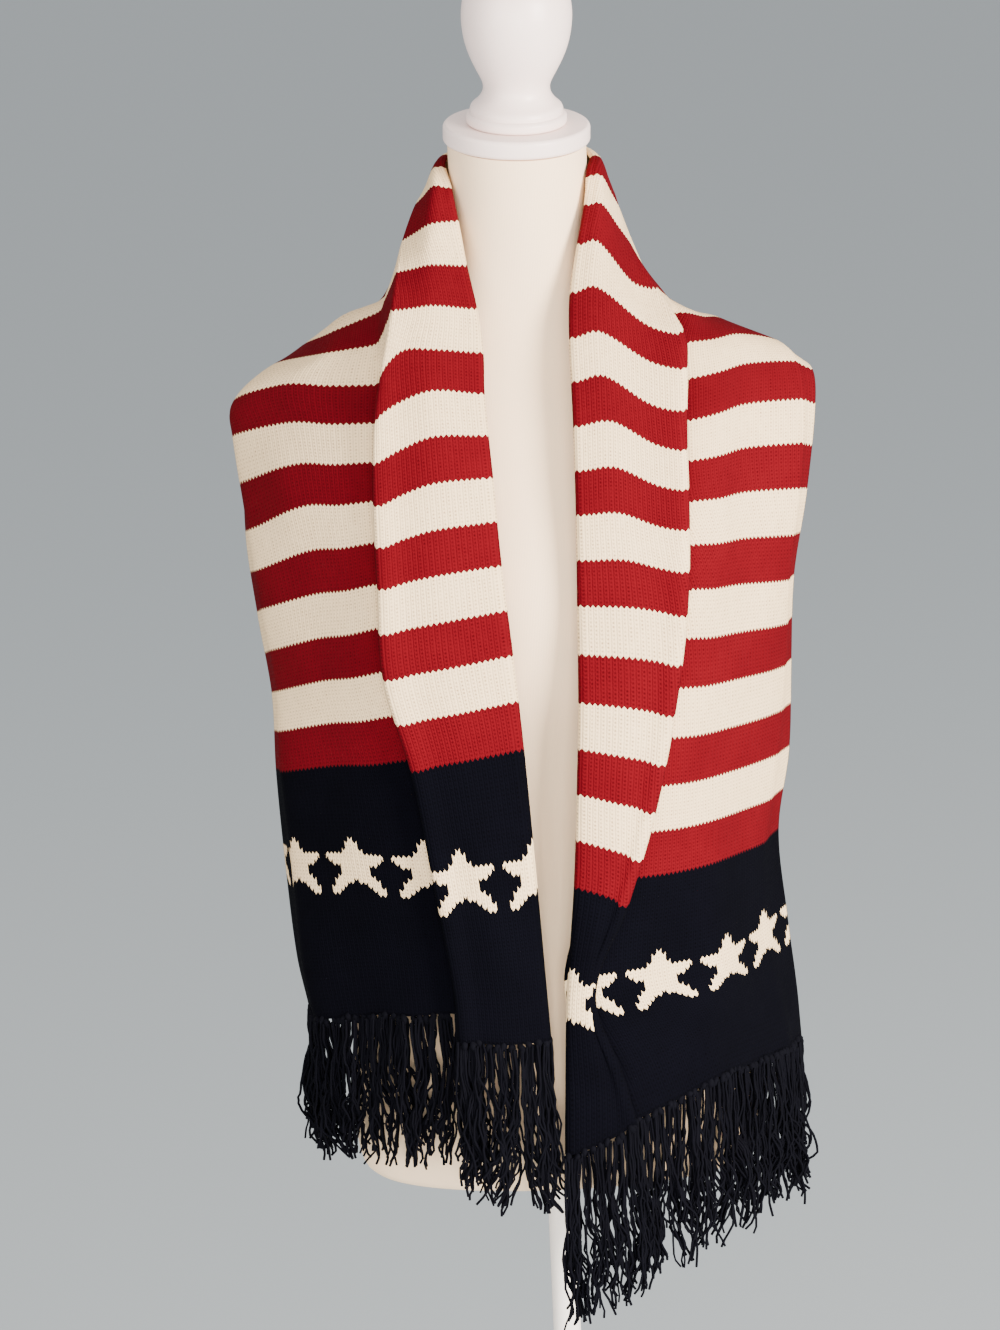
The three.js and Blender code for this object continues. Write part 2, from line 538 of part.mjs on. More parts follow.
const half = (GAP + 0.45) / ROW / 2;
add("base_plate", turned([[0, 0], [BASE_R - 1.5, 0], [BASE_R, 1.5], [BASE_R, BASE_H - 4], [BASE_R - 4, BASE_H], [0, BASE_H]], 64), "#e9e2dc");
add("base_collar", shifted(turned([[0, 0], [COLLAR_R, 0], [COLLAR_R, COLLAR_H - 10], [POLE_R + 4, COLLAR_H], [0, COLLAR_H]], 40), BASE_H + GAP), "#e9e2dc");
const poleFoot = BASE_H + COLLAR_H + 2 * GAP;
const flangeSeat = FORM_BOTTOM - GAP - FLANGE_H;
add("pole", shifted(turned([[0, 0], [POLE_R, 0], [POLE_R, flangeSeat - GAP - poleFoot], [0, flangeSeat - GAP - poleFoot]], 40), poleFoot), "#ece6e0");
add("support_flange", shifted(turned([[0, 0], [FLANGE_R, 0], [FLANGE_R, FLANGE_H], [0, FLANGE_H]], 40), flangeSeat), "#d9d2cc");
add("form_torso", torso(), "#ecdfcf");
add("neck_cap", onNeck(turned(CAP_PROFILE, 48), GAP), "#ede6e2");
add("finial", onNeck(turned(FINIAL_PROFILE, 36), CAP_H + 2 * GAP), "#ede6e2");
add("scarf_left", wall(rowsBetween(0, LEFT_PART - half)), "#a8182a");
add("scarf_neck", wall(rowsBetween(LEFT_PART + half, ROWS - RIGHT_PART - half)), "#a8182a");
add("scarf_right", wall(rowsBetween(ROWS - RIGHT_PART + half, ROWS)), "#a8182a");
add("fringe_left", fringe(0, -6, LEFT_FRINGE), "#15161f");
add("fringe_right", fringe(ROWS, 6, RIGHT_FRINGE), "#15161f");

export default group;
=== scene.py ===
import math

import bmesh
import bpy
import numpy as np
from mathutils import Matrix, Vector


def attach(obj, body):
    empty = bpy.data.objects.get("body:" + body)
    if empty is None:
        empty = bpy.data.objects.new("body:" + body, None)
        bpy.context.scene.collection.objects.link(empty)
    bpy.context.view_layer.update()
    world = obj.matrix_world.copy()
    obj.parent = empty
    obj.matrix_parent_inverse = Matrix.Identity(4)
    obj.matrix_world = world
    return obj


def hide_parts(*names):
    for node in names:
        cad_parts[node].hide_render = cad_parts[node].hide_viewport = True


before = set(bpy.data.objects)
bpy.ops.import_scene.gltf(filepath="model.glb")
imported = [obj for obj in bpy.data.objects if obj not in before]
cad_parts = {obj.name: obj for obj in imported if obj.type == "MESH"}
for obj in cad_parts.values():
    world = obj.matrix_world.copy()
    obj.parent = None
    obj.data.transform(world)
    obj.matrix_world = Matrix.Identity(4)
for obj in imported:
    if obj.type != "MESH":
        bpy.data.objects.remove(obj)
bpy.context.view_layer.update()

MM = 0.001

# ---- camera: standing in front, a little above and to the left, held slightly askew ----
VIEW_FROM = Vector((-30, -3358, 1986)) * MM
LOOK_DOWN = math.radians(14.86)
ROLL = math.radians(-2.58)
FOCAL_PIXELS = 4500
PICTURE_HEIGHT = 1330


def set_camera():
    data = bpy.data.cameras.new("shop_camera")
    camera = bpy.data.objects.new("shop_camera", data)
    bpy.context.collection.objects.link(camera)
    data.sensor_fit = "AUTO"
    data.sensor_width = 36
    data.lens = 36 * FOCAL_PIXELS / PICTURE_HEIGHT
    data.clip_end = 60
    ahead = Vector((0, math.cos(LOOK_DOWN), -math.sin(LOOK_DOWN)))
    level = Vector((1, 0, 0))
    rise = Vector((0, math.sin(LOOK_DOWN), math.cos(LOOK_DOWN)))
    right = level * math.cos(ROLL) + rise * math.sin(ROLL)
    up = rise * math.cos(ROLL) - level * math.sin(ROLL)
    turn = Matrix((right, up, -ahead)).transposed().to_4x4()
    camera.matrix_world = Matrix.Translation(VIEW_FROM) @ turn
    bpy.context.scene.camera = camera


set_camera()

# ---- the knitted strip, in its own stitches ----
WALES = 80                # stitch columns across
LEFT_END = 68             # dark courses at the left end
RIGHT_END = 57            # and at the right end
STRIPE_COURSES = 12
STRIPES = 37
COURSES = LEFT_END + STRIPES * STRIPE_COURSES + RIGHT_END
WALL = 2.6                # thickness of the knit, mm

# Sections of the hung strip, one for each course named by `row` (counted from its own hem), in mm.
# x is measured outward from the middle of the front; the creases run from the neck-side edge out.
# A fourth number is the wale that lies there, tuck is how far the cloth goes in under the band, and
# dip slides the band along its slope. The section behind the neck closes LEFT, and RIGHT joins it.
LEFT = [
    dict(row=0, roll=[5, -131, 834], crown=[38, -135, 833], fold=[73, -131, 836, 25],
         out=[78, -114, 853, 34], mid=[135, -80, 843, 51], side=[183, -38, 827, 67],
         edge=[192, 12, 822], tuck=10),
    dict(row=14, roll=[7, -132, 878], crown=[41, -136, 877], fold=[75, -132, 878, 25],
         out=[80, -115, 892, 34], mid=[139, -80, 884, 51], side=[189, -38, 870, 67],
         edge=[199, 12, 864], tuck=11),
    dict(row=41.5, roll=[11, -134, 966], crown=[48, -138, 964], fold=[86, -133, 960, 25],
         out=[88, -116, 967, 34], mid=[148, -80, 962.5, 51], side=[193, -38, 952, 67],
         edge=[204, 10, 945], tuck=12),
    dict(row=68, roll=[16, -136, 1064], crown=[58, -139, 1058], fold=[99, -134, 1051, 25],
         out=[101, -115, 1054, 33.5], mid=[155, -78, 1042, 51], side=[198, -36, 1027, 66],
         edge=[207, 15, 1015], tuck=12),
    dict(row=92, roll=[21, -137, 1137], crown=[66, -140, 1130], fold=[116, -134, 1122, 25],
         out=[116, -114, 1123, 33], mid=[163, -76, 1108, 50], side=[198, -32, 1090, 65],
         edge=[207, 20, 1075], tuck=12),
    dict(row=116, roll=[26.5, -134, 1205], crown=[73, -137, 1200], fold=[117, -132, 1191, 25],
         out=[118, -113, 1190, 33], mid=[167, -75, 1175, 50], side=[206, -30, 1155, 64],
         edge=[215, 28, 1138], tuck=12),
    dict(row=140, roll=[30, -122, 1269], crown=[72, -125, 1267], fold=[117, -122, 1252, 25],
         out=[118, -104, 1251, 32.5], mid=[170, -70, 1242, 48], side=[213, -24, 1216, 63],
         edge=[221, 38, 1200], tuck=11),
    dict(row=164, roll=[33.5, -102, 1328], crown=[70, -103, 1332], fold=[114, -105, 1309, 25],
         out=[116, -85, 1306, 32.5], mid=[178, -41, 1300, 48], side=[223, 6, 1283, 63],
         edge=[219, 66, 1258], tuck=8, dip=[5, 7]),
    dict(row=176, roll=[33, -88, 1356], crown=[68, -89, 1360], fold=[109, -92, 1338, 25],
         out=[114, -66, 1331, 32.5], mid=[183, -19, 1325, 48], side=[223, 16, 1308, 61],
         edge=[211, 76, 1264], tuck=5, dip=[12, 11]),
    dict(row=188, roll=[36, -73, 1386], crown=[67, -74, 1390], fold=[98, -72, 1387, 22],
         out=[111, -46, 1358, 32.5], mid=[152, -26, 1349, 44], side=[196, 30, 1330, 62],
         edge=[190, 92, 1262], tuck=1),
    dict(row=200, roll=[42, -57, 1416], crown=[67, -58, 1418], fold=[93, -50, 1412, 20],
         out=[106, -18, 1379, 32], mid=[142, 8, 1361, 44], side=[172, 55, 1334, 60],
         edge=[165, 103, 1254], tuck=0),
    dict(row=212, roll=[47, -41, 1447], crown=[66, -43, 1446], fold=[88, -24, 1431, 18],
         out=[100, 14, 1386, 31], mid=[121, 46, 1361, 43], side=[138, 80, 1325, 59],
         edge=[132, 112, 1243], tuck=0),
    dict(row=224, roll=[51, -27, 1470], crown=[63, -27, 1472], fold=[77, -8, 1456, 14],
         out=[93, 36, 1403, 30], mid=[102, 66, 1368, 42], side=[104, 94, 1324, 58],
         edge=[98, 119, 1231], tuck=0),
    dict(row=242, roll=[54.6, 2, 1487], crown=[61, 3, 1485], fold=[70, 22, 1456, 12],
         out=[76, 62, 1396, 29], mid=[76, 84, 1358, 41], side=[71, 105, 1318, 57],
         edge=[64, 122, 1218], tuck=0),
    dict(row=260, roll=[40.6, 41.6, 1489], crown=[44, 47, 1487], fold=[46, 57, 1452, 12],
         out=[46, 82, 1390, 29], mid=[45, 98, 1353, 41], side=[42, 113, 1314, 57],
         edge=[35, 123, 1209], tuck=0),
    dict(row=277, roll=[0, 59, 1490], crown=[0, 63.5, 1488], fold=[0, 70, 1452, 12],
         out=[0, 90, 1388, 29], mid=[0, 104, 1350, 41], side=[0, 116, 1310, 57],
         edge=[0, 120, 1206], tuck=0),
]
RIGHT = [
    dict(row=0, roll=[4, -131, 741], crown=[30, -136, 750], fold=[58, -133, 763, 16],
         out=[62, -122, 765, 19.5], mid=[126, -84, 782, 38], side=[182, 2, 770, 63],
         edge=[197, 50, 763], tuck=3),
    dict(row=10.3, roll=[6, -132, 785], crown=[30, -137, 793], fold=[49, -134, 803, 14],
         out=[52, -122, 807, 20.5], mid=[122, -84, 822, 41], side=[174, -4, 813, 65],
         edge=[194, 42, 807], tuck=6),
    dict(row=30.5, roll=[10, -133, 863], crown=[24, -138, 866], fold=[30, -134, 868, 11],
         out=[34, -123, 869, 22.5], mid=[130, -81, 871, 50], side=[165, -24, 871, 67],
         edge=[187, 24, 872], tuck=18),
    dict(row=57, roll=[19, -134, 954], crown=[38, -139, 949], fold=[57, -135, 939, 12],
         out=[60, -124, 956, 28], mid=[125, -84, 953, 48], side=[165, -16, 946, 67],
         edge=[182, 28, 944], tuck=26),
    dict(row=81, roll=[24, -135, 1027], crown=[52, -139, 1020], fold=[80, -136, 1011, 16.5],
         out=[83, -121, 1026, 33], mid=[136, -74, 1020, 51], side=[177, -14, 1015, 69],
         edge=[192, 24, 1012], tuck=28),
    dict(row=105, roll=[28, -135, 1098], crown=[60, -139, 1094], fold=[97, -135, 1085, 19],
         out=[100, -116, 1100, 37], mid=[146, -76, 1094, 52], side=[186, -16, 1087, 70],
         edge=[195, 18, 1084], tuck=32),
    dict(row=129, roll=[30, -134, 1172], crown=[66, -138, 1170], fold=[109, -134, 1161, 22],
         out=[112, -113, 1175, 42], mid=[151, -75, 1168, 56], side=[190, -28, 1158, 71],
         edge=[198, 6, 1154], tuck=36),
    dict(row=153, roll=[32, -128, 1239], crown=[62, -131, 1240], fold=[113, -131, 1226, 25.5],
         out=[115, -109, 1241, 49], mid=[158, -72, 1238, 63], side=[199, -36, 1231, 75],
         edge=[208.5, -14, 1226], tuck=42, dip=[-3, -0.5]),
    dict(row=177, roll=[33, -111, 1302], crown=[60, -113, 1305], fold=[114, -119, 1284, 26],
         out=[117, -86, 1297, 50], mid=[162, -48, 1300, 64], side=[206, -10, 1294, 76],
         edge=[218, 6, 1287], tuck=40, dip=[-5, -1]),
    dict(row=189, roll=[33, -98, 1333], crown=[56, -100, 1337], fold=[115, -109, 1312, 26.5],
         out=[118, -64, 1324, 50], mid=[165, -24, 1326, 64], side=[202, 4, 1321, 75.5],
         edge=[218, 18, 1311], tuck=34, dip=[-7, -1.5]),
    dict(row=201, roll=[33, -84, 1363], crown=[55, -86, 1367], fold=[117, -97, 1341, 27],
         out=[119, -45, 1348, 50], mid=[162, -5, 1345, 64], side=[192, 24, 1334, 76],
         edge=[208, 42, 1314], tuck=22, dip=[-7, -1.5]),
    dict(row=213, roll=[35, -68, 1394], crown=[54, -70, 1398], fold=[116, -84, 1365, 28],
         out=[121, -18, 1366, 48], mid=[150, 24, 1353, 62], side=[176, 54, 1332, 74],
         edge=[186, 76, 1298], tuck=6, dip=[-9, -2]),
    dict(row=225, roll=[42, -52, 1427], crown=[56, -53, 1429], fold=[99, -50, 1391, 25],
         out=[111, 2, 1373, 43], mid=[138, 42, 1351, 56], side=[152, 76, 1322, 70],
         edge=[156, 102, 1262], tuck=0, dip=[-10, -4]),
    dict(row=237, roll=[49, -35, 1455], crown=[60, -36, 1456], fold=[80, -20, 1423, 18],
         out=[99, 24, 1381, 35], mid=[114, 58, 1354, 48], side=[120, 89, 1318, 64],
         edge=[121, 113, 1243], tuck=0),
    dict(row=249, roll=[52, -20, 1477], crown=[61, -19, 1477], fold=[73, 0, 1449, 13],
         out=[89, 42, 1396, 31], mid=[97, 71, 1361, 43], side=[98, 98, 1318, 59],
         edge=[93, 119, 1231], tuck=0),
    dict(row=263, roll=[54.6, 4, 1486], crown=[61, 6, 1484], fold=[69, 24, 1454, 12],
         out=[76, 64, 1394, 29], mid=[76, 86, 1356, 41], side=[71, 106, 1317, 57],
         edge=[63, 122, 1218], tuck=0),
    dict(row=278, roll=[40.6, 41.6, 1489], crown=[44, 47, 1487], fold=[46, 57, 1452, 12],
         out=[46, 82, 1390, 29], mid=[45, 98, 1353, 41], side=[42, 113, 1314, 57],
         edge=[35, 123, 1209], tuck=0),
]

# half width, front depth and back depth of the dress form at each height, in mm; a pinch above 0
# draws the sides in to an edge, and one below 0 squares them off
FORM = [
    dict(z=693, half=140, front=82, back=79, pinch=-0.3),
    dict(z=696, half=150, front=90, back=86, pinch=-0.3),
    dict(z=703, half=156, front=96, back=92, pinch=-0.28),
    dict(z=715, half=159, front=101, back=97, pinch=-0.18),
    dict(z=738, half=160, front=104, back=101, pinch=-0.06),
    dict(z=780, half=160, front=106, back=103, pinch=0),
    dict(z=850, half=153, front=103, back=101, pinch=0),
    dict(z=930, half=141, front=97, back=90, pinch=0),
    dict(z=1000, half=128, front=93, back=81, pinch=0),
    dict(z=1060, half=129, front=97, back=80, pinch=0),
    dict(z=1115, half=140, front=109, back=85, pinch=0),
    dict(z=1165, half=151, front=116, back=90, pinch=0),
    dict(z=1215, half=167, front=110, back=94, pinch=0.2),
    dict(z=1250, half=188, front=99, back=96, pinch=0.5),
    dict(z=1275, half=200, front=90, back=93, pinch=0.7),
    dict(z=1295, half=203, front=83, back=88, pinch=0.8),
    dict(z=1311, half=196, front=76, back=83, pinch=0.8),
    dict(z=1326, half=179, front=69, back=77, pinch=0.8),
    dict(z=1341, half=162, front=63, back=71, pinch=0.8),
    dict(z=1356, half=134, front=58, back=65, pinch=0.8),
    dict(z=1371, half=104, front=54, back=61, pinch=0.6),
    dict(z=1386, half=79, front=53, back=58, pinch=0.3),
    dict(z=1402, half=63, front=52.5, back=55, pinch=0),
    dict(z=1422, half=54.5, front=52.5, back=54, pinch=0),
    dict(z=1450, half=52, front=53, back=54, pinch=0),
    dict(z=1476, half=52, front=54, back=54, pinch=0),
    dict(z=1500, half=52, front=54, back=54, pinch=0),
]
NECK_TOP = 1500
NECK_TIP = 1450           # from here up the form tips into the plane of the neck
LEAN_Y = 0.135            # the neck plane tips forward
LEAN_X = -0.040           # and a little to the viewer's right


# ---- curves through named points ----
def lerp(a, b, t):
    return a + (b - a) * t


def through(points, knots, at):
    """Smooth curve through points (array n x ...) at knots, read at one value."""
    n = len(points)
    i = int(np.clip(np.searchsorted(knots, at, side="right") - 1, 0, n - 2))
    p1 = points[i]
    p2 = points[i + 1]
    h = knots[i + 1] - knots[i]
    if i > 0:
        m1 = (p2 - points[i - 1]) / (knots[i + 1] - knots[i - 1])
    else:
        m1 = (p2 - p1) / h
    if i < n - 2:
        m2 = (points[i + 2] - p1) / (knots[i + 2] - knots[i])
    else:
        m2 = (p2 - p1) / h
    t = (at - knots[i]) / h
    a = 2 * t**3 - 3 * t**2 + 1
    b = t**3 - 2 * t**2 + t
    c = -2 * t**3 + 3 * t**2
    d = t**3 - t**2
    return a * p1 + b * h * m1 + c * p2 + d * h * m2


def crease_points(cut, side):
    """Seventeen crease points (x, y, z, wale) of one section, from the neck-side edge out."""
    roll = np.array(cut["roll"], float)
    crown = np.array(cut["crown"], float)
    fold = np.array(cut["fold"][:3], float)
    out = np.array(cut["out"][:3], float)
    mid = np.array(cut["mid"][:3], float)
    wide = np.array(cut["side"][:3], float)
    edge = np.array(cut["edge"], float)
    tuck = cut["tuck"]
    under = min(1.0, tuck / 6)  # how fully the cloth turns back under the band
    front = 1.0 if roll[1] < 40 else 0.0  # 0 at the nape
    deep = min(4.4, (out[1] - fold[1]) * 0.3)  # how far behind the band's edge it turns

    def between(t):
        return lerp(fold, out, t)

    points = [
        roll + np.array([4.5 * front, lerp(-1, 8, front), -lerp(9, 1, front)]),
        roll,
        lerp(
            lerp(roll, crown, 0.28),
            np.array([roll[0] + 4, crown[1] + 0.6, roll[2]]),
            0.6 * front,
        ),
        crown,
        lerp(crown, fold, 0.55),
        lerp(lerp(crown, fold, 0.9), fold + np.array([-5, -2.6, 0]), under),
        fold,
        lerp(between(0.25), np.array([fold[0] - 4, fold[1] + deep, between(0.2)[2]]), under),
        lerp(
            between(0.45),
            np.array([fold[0] - tuck, fold[1] + deep + 0.8, between(0.4)[2]]),
            under,
        ),
        lerp(
            between(0.6),
            np.array([fold[0] - tuck - 3, lerp(fold[1] + deep, out[1], 0.55), between(0.5)[2]]),
            under,
        ),
        lerp(between(0.75), np.array([fold[0] - tuck, out[1] - 1.2, between(0.65)[2]]), under),
        out,
        lerp(out, mid, 0.5) + np.array([0, -5 * under, 0]),
        mid,
        wide,
        lerp(wide, edge, 0.5),
        edge,
    ]
    points = np.array(points)
    # the band slides up or down its slope, halfway from crown to fold and close to the fold
    for crease, slide in zip((4, 5), cut.get("dip", (0, 0))):
        points[crease] += slide * np.array([0, 0.45, 1])
    steps = np.linalg.norm(np.diff(points, axis=0), axis=1)
    run = np.concatenate([[0], np.cumsum(steps)])
    known = {0: 0, 6: cut["fold"][3], 11: cut["out"][3], 13: cut["mid"][3], 14: cut["side"][3],
             16: WALES}
    wale = np.interp(run, [run[k] for k in known], list(known.values()))
    points[:, 0] *= side
    return np.column_stack([points, wale])


# fine steps between neighbouring creases
CREASE_STEPS = [2, 2, 3, 7, 7, 3, 3, 4, 5, 4, 3, 7, 8, 14, 9, 9]


def section_line(points):
    steps = np.linalg.norm(np.diff(points[:, :3], axis=0), axis=1) ** 0.6
    knots = np.concatenate([[0], np.cumsum(steps)])
    line = []
    for i, count in enumerate(CREASE_STEPS):
        for j in range(count):
            t = j / count
            xyz = through(points[:, :3], knots, lerp(knots[i], knots[i + 1], t))
            line.append([*xyz, lerp(points[i, 3], points[i + 1, 3], t)])
    line.append(list(points[-1]))
    return np.array(line)


def hung_strip():
    """Section lines of the whole strip and their course numbers, from the left hem to the right."""
    lines = [section_line(crease_points(cut, -1)) for cut in LEFT]
    courses = [cut["row"] for cut in LEFT]
    for cut in reversed(RIGHT):
        lines.append(section_line(crease_points(cut, 1)))
        courses.append(COURSES - cut["row"])
    return np.array(lines), np.array(courses, float)


STRIP_LINES, STRIP_COURSES = hung_strip()


def strip_at(course):
    return through(STRIP_LINES, STRIP_COURSES, course)


FADE = 2.2                # exp(-FADE), a ninth, is left of a wrinkle at its ends and sides
# soft ridges and troughs of the hung cloth: course and wale of the middle, how many courses long
# and wales wide, wales it leans over that length, and height in mm
WRINKLES = [
    dict(course=204, wale=43, long=26, wide=30, lean=0, high=6.5),
    dict(course=192, wale=57, long=16, wide=22, lean=4, high=-1.6),
    dict(course=170, wale=47, long=46, wide=15, lean=-3, high=1.3),
    dict(course=146, wale=52, long=44, wide=13, lean=2, high=2.2),
    dict(course=143, wale=60, long=38, wide=15, lean=3, high=-1.5),
    dict(course=118, wale=45, long=50, wide=17, lean=-4, high=-1.0),
    dict(course=96, wale=55, long=42, wide=16, lean=4, high=1.5),
    dict(course=80, wale=66, long=36, wide=13, lean=2, high=1.2),
    dict(course=52, wale=50, long=60, wide=18, lean=-9, high=1.7),
    dict(course=24, wale=62, long=44, wide=15, lean=-6, high=1.3),
    dict(course=18, wale=43, long=34, wide=14, lean=3, high=-1.2),
    dict(course=150, wale=11, long=64, wide=13, lean=2, high=0.9),
    dict(course=92, wale=13, long=70, wide=15, lean=-3, high=-0.9),
    dict(course=30, wale=12, long=56, wide=12, lean=4, high=1.2),
    dict(course=380, wale=58, long=34, wide=20, lean=-4, high=1.8),
    dict(course=398, wale=66, long=40, wide=14, lean=3, high=-1.2),
    dict(course=420, wale=55, long=54, wide=15, lean=4, high=1.3),
    dict(course=458, wale=64, long=56, wide=15, lean=-3, high=1.6),
    dict(course=476, wale=50, long=48, wide=16, lean=4, high=-1.1),
    dict(course=508, wale=66, long=34, wide=17, lean=-5, high=1.9),
    dict(course=530, wale=48, long=44, wide=19, lean=7, high=1.5),
    dict(course=548, wale=60, long=40, wide=15, lean=5, high=-1.2),
    dict(course=400, wale=9, long=60, wide=13, lean=2, high=1.0),
    dict(course=470, wale=11, long=64, wide=13, lean=-2, high=0.9),
]


# where the cloth is bunched: round one place its stitches run this many courses ahead of the mesh
BUNCHED = [
    dict(course=198, wale=46, long=20, wide=36, by=5.0),
    dict(course=322, wale=4, long=24, wide=44, by=-2.6),
]


def wrinkle_height(courses, wales):
    """Height of all wrinkles on a grid of stitches, in mm towards the viewer."""
    height = np.zeros_like(wales)
    for wave in WRINKLES:
        up = (courses - wave["course"]) / (wave["long"] / 2)
        off = (wales - wave["wale"] - wave["lean"] * up / 2) / (wave["wide"] / 2)
        height += wave["high"] * np.exp(-FADE * up**2 - FADE * off**2)
    return height


# ---- meshes ----
CLOTH_ROWS = 388          # mesh rows along the strip
FORM_SIDES = 120          # points round the dress form
FORM_STEP = 6             # about the height between its rings, mm
LATHE_SIDES = 96          # points round a turned piece
SHARP = math.radians(40)  # corners steeper than this stay crisp


def finish_piece(name, mesh, material, slot, *nodes):
    piece = bpy.data.objects.new(name, mesh)
    bpy.context.collection.objects.link(piece)
    mesh.materials.clear()
    mesh.materials.append(material)
    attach(piece, "root")
    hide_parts(*nodes)
    return piece


def grid_mesh(name, grid):
    """Quads over a rows x columns grid of points, closed all the way round."""
    rows, cols = grid.shape[:2]
    mesh = bpy.data.meshes.new(name)
    faces = []
    for r in range(rows - 1):
        for c in range(cols):
            d = (c + 1) % cols
            faces.append((r * cols + c, r * cols + d, (r + 1) * cols + d, (r + 1) * cols + c))
    mesh.from_pydata([tuple(p) for p in grid.reshape(-1, 3)], [], faces)
    return mesh


def cloth_wall():
    """The knit as one closed wall of even thickness; its UV map follows wales and courses."""
    courses = np.linspace(0, COURSES, CLOTH_ROWS)
    lines = np.array([strip_at(c) for c in courses])
    middle = lines[:, :, :3]
    along = np.gradient(middle, axis=0)
    across = np.gradient(middle, axis=1)
    normal = np.cross(along, across)
    normal /= np.linalg.norm(normal, axis=2, keepdims=True)
    middle = middle + normal * wrinkle_height(courses[:, None], lines[:, :, 3])[:, :, None]
    rows, cols = middle.shape[:2]
    sides = [middle + normal * WALL / 2, middle - normal * WALL / 2]
    points = np.concatenate([s.reshape(-1, 3) for s in sides]) * MM
    count = rows * cols

    def at(side, r, c):
        return side * count + r * cols + c

    faces = []
    for r in range(rows - 1):
        for c in range(cols - 1):
            faces.append((at(0, r, c), at(0, r + 1, c), at(0, r + 1, c + 1), at(0, r, c + 1)))
            faces.append((at(1, r, c), at(1, r, c + 1), at(1, r + 1, c + 1), at(1, r + 1, c)))
    rim = [(0, c) for c in range(cols)]
    rim += [(r, cols - 1) for r in range(1, rows)]
    rim += [(rows - 1, c) for c in range(cols - 2, -1, -1)]
    rim += [(r, 0) for r in range(rows - 2, 0, -1)]
    for (r0, c0), (r1, c1) in zip(rim, rim[1:] + rim[:1]):
        faces.append((at(0, r0, c0), at(0, r1, c1), at(1, r1, c1), at(1, r0, c0)))
    mesh = bpy.data.meshes.new("striped_scarf")
    mesh.from_pydata([tuple(p) for p in points], [], faces)
    uv = mesh.uv_layers.new(name="stitches")
    counted = np.repeat(courses[:, None], cols, 1)
    for pull in BUNCHED:
        near = ((courses[:, None] - pull["course"]) / pull["long"] * 2) ** 2
        near = near + ((lines[:, :, 3] - pull["wale"]) / pull["wide"] * 2) ** 2
        counted = counted + pull["by"] * np.exp(-FADE * near)
    stitch = np.stack([lines[:, :, 3] / WALES, counted / COURSES], axis=2)
    stitch = np.concatenate([stitch.reshape(-1, 2)] * 2)
    corner = np.empty(len(mesh.loops), int)
    mesh.loops.foreach_get("vertex_index", corner)
    uv.data.foreach_set("uv", stitch[corner].ravel())
    turn_outward(mesh)
    return mesh


def turn_outward(mesh):
    work = bmesh.new()
    work.from_mesh(mesh)
    bmesh.ops.recalc_face_normals(work, faces=work.faces)
    if work.calc_volume(signed=True) < 0:
        bmesh.ops.reverse_faces(work, faces=work.faces)
    work.to_mesh(mesh)
    work.free()
    mesh.shade_smooth()


def closed_rings(name, rings, first, last):
    """A closed solid from rings of equal count, with a pole point at each end."""
    grid = np.array(rings) * MM
    mesh = grid_mesh(name, grid)
    work = bmesh.new()
    work.from_mesh(mesh)
    work.verts.ensure_lookup_table()
    n = grid.shape[1]
    top = (grid.shape[0] - 1) * n
    for start, pole in ((0, first), (top, last)):
        tip = work.verts.new(Vector(pole) * MM)
        work.verts.ensure_lookup_table()
        for i in range(n):
            work.faces.new((work.verts[start + i], work.verts[start + (i + 1) % n], tip))
    work.to_mesh(mesh)
    work.free()
    turn_outward(mesh)
    mesh.set_sharp_from_angle(angle=SHARP)
    return mesh


def turned(name, profile, seat=(0, 0, 0), tipped=False):
    """A lathe-turned piece; profile is (radius, height) from pole to pole, seat is its foot."""
    up = Vector((-LEAN_X, -LEAN_Y, 1)).normalized() if tipped else Vector((0, 0, 1))
    turn = Vector((0, 0, 1)).rotation_difference(up)
    angles = np.linspace(0, 2 * math.pi, LATHE_SIDES, endpoint=False)

    def place(x, y, z):
        return tuple(turn @ Vector((x, y, z)) + Vector(seat))

    rings = [[place(r * math.cos(a), r * math.sin(a), z) for a in angles] for r, z in profile[1:-1]]
    return closed_rings(name, rings, place(0, 0, profile[0][1]), place(0, 0, profile[-1][1]))


def rounded(profile, radius, steps=4):
    """The same turned profile with each outer corner eased by a small radius."""
    result = [profile[0]]
    for before, here, after in zip(profile, profile[1:], profile[2:]):
        a = Vector(before) - Vector(here)
        b = Vector(after) - Vector(here)
        ease = min(radius, a.length * 0.45, b.length * 0.45)
        start = Vector(here) + a.normalized() * ease
        end = Vector(here) + b.normalized() * ease
        for k in range(steps + 1):
            t = k / steps
            p = start * (1 - t) ** 2 + Vector(here) * 2 * t * (1 - t) + end * t * t
            result.append(tuple(p))
    result.append(profile[-1])
    return result


def smooth_profile(profile, per=4):
    points = np.array(profile, float)
    steps = np.linalg.norm(np.diff(points, axis=0), axis=1)
    knots = np.concatenate([[0], np.cumsum(steps)])
    result = []
    for i in range(len(points) - 1):
        for j in range(per):
            result.append(tuple(through(points, knots, lerp(knots[i], knots[i + 1], j / per))))
    result.append(tuple(points[-1]))
    return result


